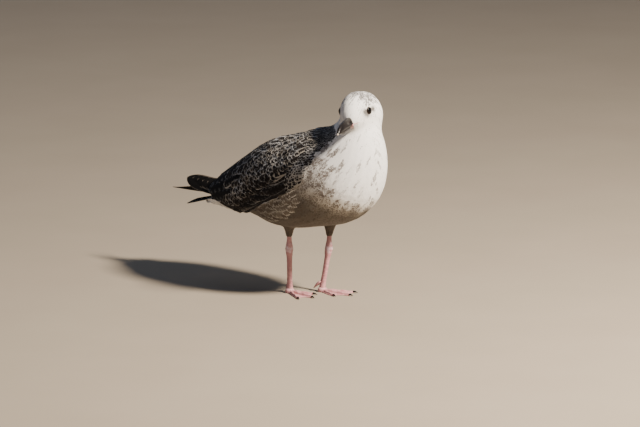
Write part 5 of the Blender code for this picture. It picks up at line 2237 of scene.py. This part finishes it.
@dataclass
class Studio:
    """Floor, soft lights and the camera.

    The scale is the width of one picture column in millimetres; the aim is given right and up
    of the origin as the camera sees it, also in millimetres.
    """

    azimuth: float = -46.0
    elevation: float = 11.0
    scale: float = 1.43
    columns: int = 640
    far: float = 9.0
    aim_right: float = 20.7
    aim_up: float = 112.3
    sensor: float = 36.0
    breast: tuple[float, float, float] = (0.0, -0.06, 0.17)

    @staticmethod
    def stand(name: str, data: bpy.types.ID, aim: Array, way: Array, far: float) -> Thing:
        """Stands a lamp or the camera off from its aim, facing it."""
        thing = bpy.data.objects.new(name, data)
        bpy.context.scene.collection.objects.link(thing)
        thing.location = Vector(aim + way * far)
        thing.rotation_euler = Vector(way).to_track_quat("Z", "Y").to_euler()
        return thing

    def floor(self) -> None:
        """A large flat disc under the feet."""
        mesh = bpy.data.meshes.new("floor")
        shell = bmesh.new()
        bmesh.ops.create_circle(shell, cap_ends=True, segments=96, radius=6.0)
        shell.to_mesh(mesh)
        shell.free()
        linked("floor", mesh, FLOOR_PAINT)

    def light(self, name: str, way: Array, far: float, size: float, power: float, tint: str) -> None:
        """A round area light aimed at the bird's breast."""
        lamp = bpy.data.lights.new(name, "AREA")
        lamp.shape, lamp.size, lamp.energy = "DISK", size, power
        lamp.color = linear(tint)[:3]
        self.stand(name, lamp, np.array(self.breast), way, far)

    def camera(self) -> None:
        """The camera, square to the view and far enough away to flatten it."""
        right = np.array([math.cos(math.radians(self.azimuth)), math.sin(math.radians(self.azimuth)), 0.0])
        back = way_from(self.azimuth, self.elevation)
        aim = world(right * self.aim_right + np.cross(back, right) * self.aim_up)
        lens = bpy.data.cameras.new("camera")
        lens.sensor_width = self.sensor
        lens.lens = self.sensor * self.far / (self.scale * MM * self.columns)
        lens.clip_start, lens.clip_end = 0.1, 60.0
        bpy.context.scene.camera = self.stand("camera", lens, aim, back, self.far)

    def build(self) -> None:
        """Floor, lights, pale surround and camera."""
        self.floor()
        self.light("key", way_from(8.0, 41.0), 2.6, 0.4, 280.0, "fff1df")
        self.light("fill", way_from(-95.0, 30.0), 3.2, 2.6, 4.0, "cfe0ff")
        self.light("rim", way_from(150.0, 45.0), 3.2, 2.0, 9.0, "eef2ff")
        surround = bpy.data.worlds.new("surround")
        bpy.context.scene.world = surround
        surround.use_nodes = True
        nodes = TreeWriter(surround.node_tree)
        glow = nodes.make("ShaderNodeBackground", {"Color": linear("c3d5f7"), "Strength": 0.16})
        nodes.put(nodes.add("ShaderNodeOutputWorld"), "Surface", glow)
        self.camera()


# ---------------------------------------------------------------- the whole bird

def three_vanes(
    columns: int, rows: int, camber: float, thick: float, seed: int, *shapes: tuple[float, ...]
) -> tuple[Vane, ...]:
    """Vanes alike but for their widest place, root, tip and raggedness."""
    return tuple(
        Vane(columns, rows, widest, root, tip, camber, thick, ragged, seed=seed + k)
        for k, (widest, root, tip, ragged) in enumerate(shapes)
    )


FINE = three_vanes(
    3, 4, 0.008, 0.006, 1, (0.45, 0.4, 0.0, 0.10), (0.5, 0.4, 0.0, 0.20), (0.4, 0.4, 0.05, 0.15)
)
BROAD = three_vanes(
    4, 5, 0.010, 0.006, 4, (0.45, 0.35, 0.0, 0.10), (0.5, 0.35, 0.02, 0.22), (0.45, 0.4, 0.05, 0.16)
)
MANTLE = three_vanes(
    5, 5, 0.018, 0.010, 7, (0.62, 0.4, 0.06, 0.08), (0.6, 0.4, 0.08, 0.14), (0.58, 0.4, 0.1, 0.10)
)

HEAD_COAT = {"finish": WHITE_PLUMAGE, "shapes": FINE, "width": 0.36, "lift": 0.008}
NECK_COAT = {**HEAD_COAT, "width": 0.38}
BODY_COAT = {"finish": STREAKED_PLUMAGE, "shapes": BROAD, "width": 0.42, "lift": 0.010}
BACK_COAT = {"finish": MOTTLED_PLUMAGE, "shapes": MANTLE, "softness": 0.3}


def pale_part(f: CoatField, near: float, far: float = math.inf) -> Array:
    """Pale places between two distances from the bill, clear of the wings."""
    return (f.away > near) & (f.away < far) & ~f.wing & (f.upper < 0.5)


COAT_PATCHES = (
    CoatPatch(
        "face_coat", lambda f: (f.away > 4.0) & (f.away < 24.0) & (f.near_eye > 0.3), 0.62, seed=1,
        **HEAD_COAT,
    ),
    CoatPatch(
        "head_coat", lambda f: pale_part(f, 22.0, 47.0) & (f.near_eye > 0.3), 0.95, seed=2, **HEAD_COAT
    ),
    CoatPatch("neck_coat", lambda f: pale_part(f, 45.0, 78.0), 1.35, seed=3, **NECK_COAT),
    CoatPatch("breast_coat", lambda f: pale_part(f, 76.0, 128.0), 2.1, seed=4, **BODY_COAT),
    CoatPatch("flank_coat", lambda f: pale_part(f, 126.0) & (f.y < 15.0), 2.5, seed=5, **BODY_COAT),
    CoatPatch("vent_coat", lambda f: pale_part(f, 126.0) & (f.y > 13.0), 2.9, seed=8, **BODY_COAT),
    CoatPatch(
        "mantle_coat", lambda f: (f.away > 20.0) & (f.upper > 0.4) & ~f.wing, 2.9, seed=6, **BACK_COAT
    ),
    CoatPatch("wing_coat", lambda f: f.wing & (f.y < -34.0), 3.2, seed=7, **BACK_COAT),
)


def main() -> None:
    """Builds the bird on its frame and the studio round it."""
    logging.basicConfig(level=logging.INFO, format="%(message)s")
    for thing in list(bpy.data.objects):
        bpy.data.objects.remove(thing)
    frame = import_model()
    nodes = frame["nodes"]

    body = Body()
    outline = body.outline(nodes)
    markings = Markings(body.eyes)
    body.dress(outline, markings)
    Coat(body, markings, outline).build(COAT_PATCHES)
    surface = Surface(outline.data)
    bpy.data.objects.remove(outline)
    wings = (FoldedWing(1.0, surface, seed=5), FoldedWing(-1.0, surface, seed=8))
    for wing in wings:
        wing.build()
    LooseCoverts(surface, wings).build()
    QuillBlade(
        "primaries_left", ((30, 120, 134), (16, 180, 121), (-12, 258, 121)), (0.62, 0.1, -0.5),
        ((0, 14), (0.4, 13), (0.7, 9.5), (0.9, 4.5), (1, 1.2)), 0.3, 41,
    ).build()
    QuillBlade(
        "primaries_right", ((-30, 120, 138), (-17, 180, 133), (8, 247, 134)), (-0.62, 0.1, -0.6),
        ((0, 14), (0.4, 14), (0.7, 12.8), (0.9, 10.5), (1, 8.5)), 0.24, 43,
    ).build()
    TailFan().build()
    Bill().build(surface)
    for place, name in zip(body.eyes, ("eye_left", "eye_right")):
        Eye(place, name).build()
    Leg(-1.0, (-19, 13, 0), (-24, 9, 65), (-31, 2, 122)).build()
    Leg(1.0, (19, -15, 0), (26, -21, 62), (32, -19, 122)).build()

    Studio().build()


if __name__ == "__main__":
    main()
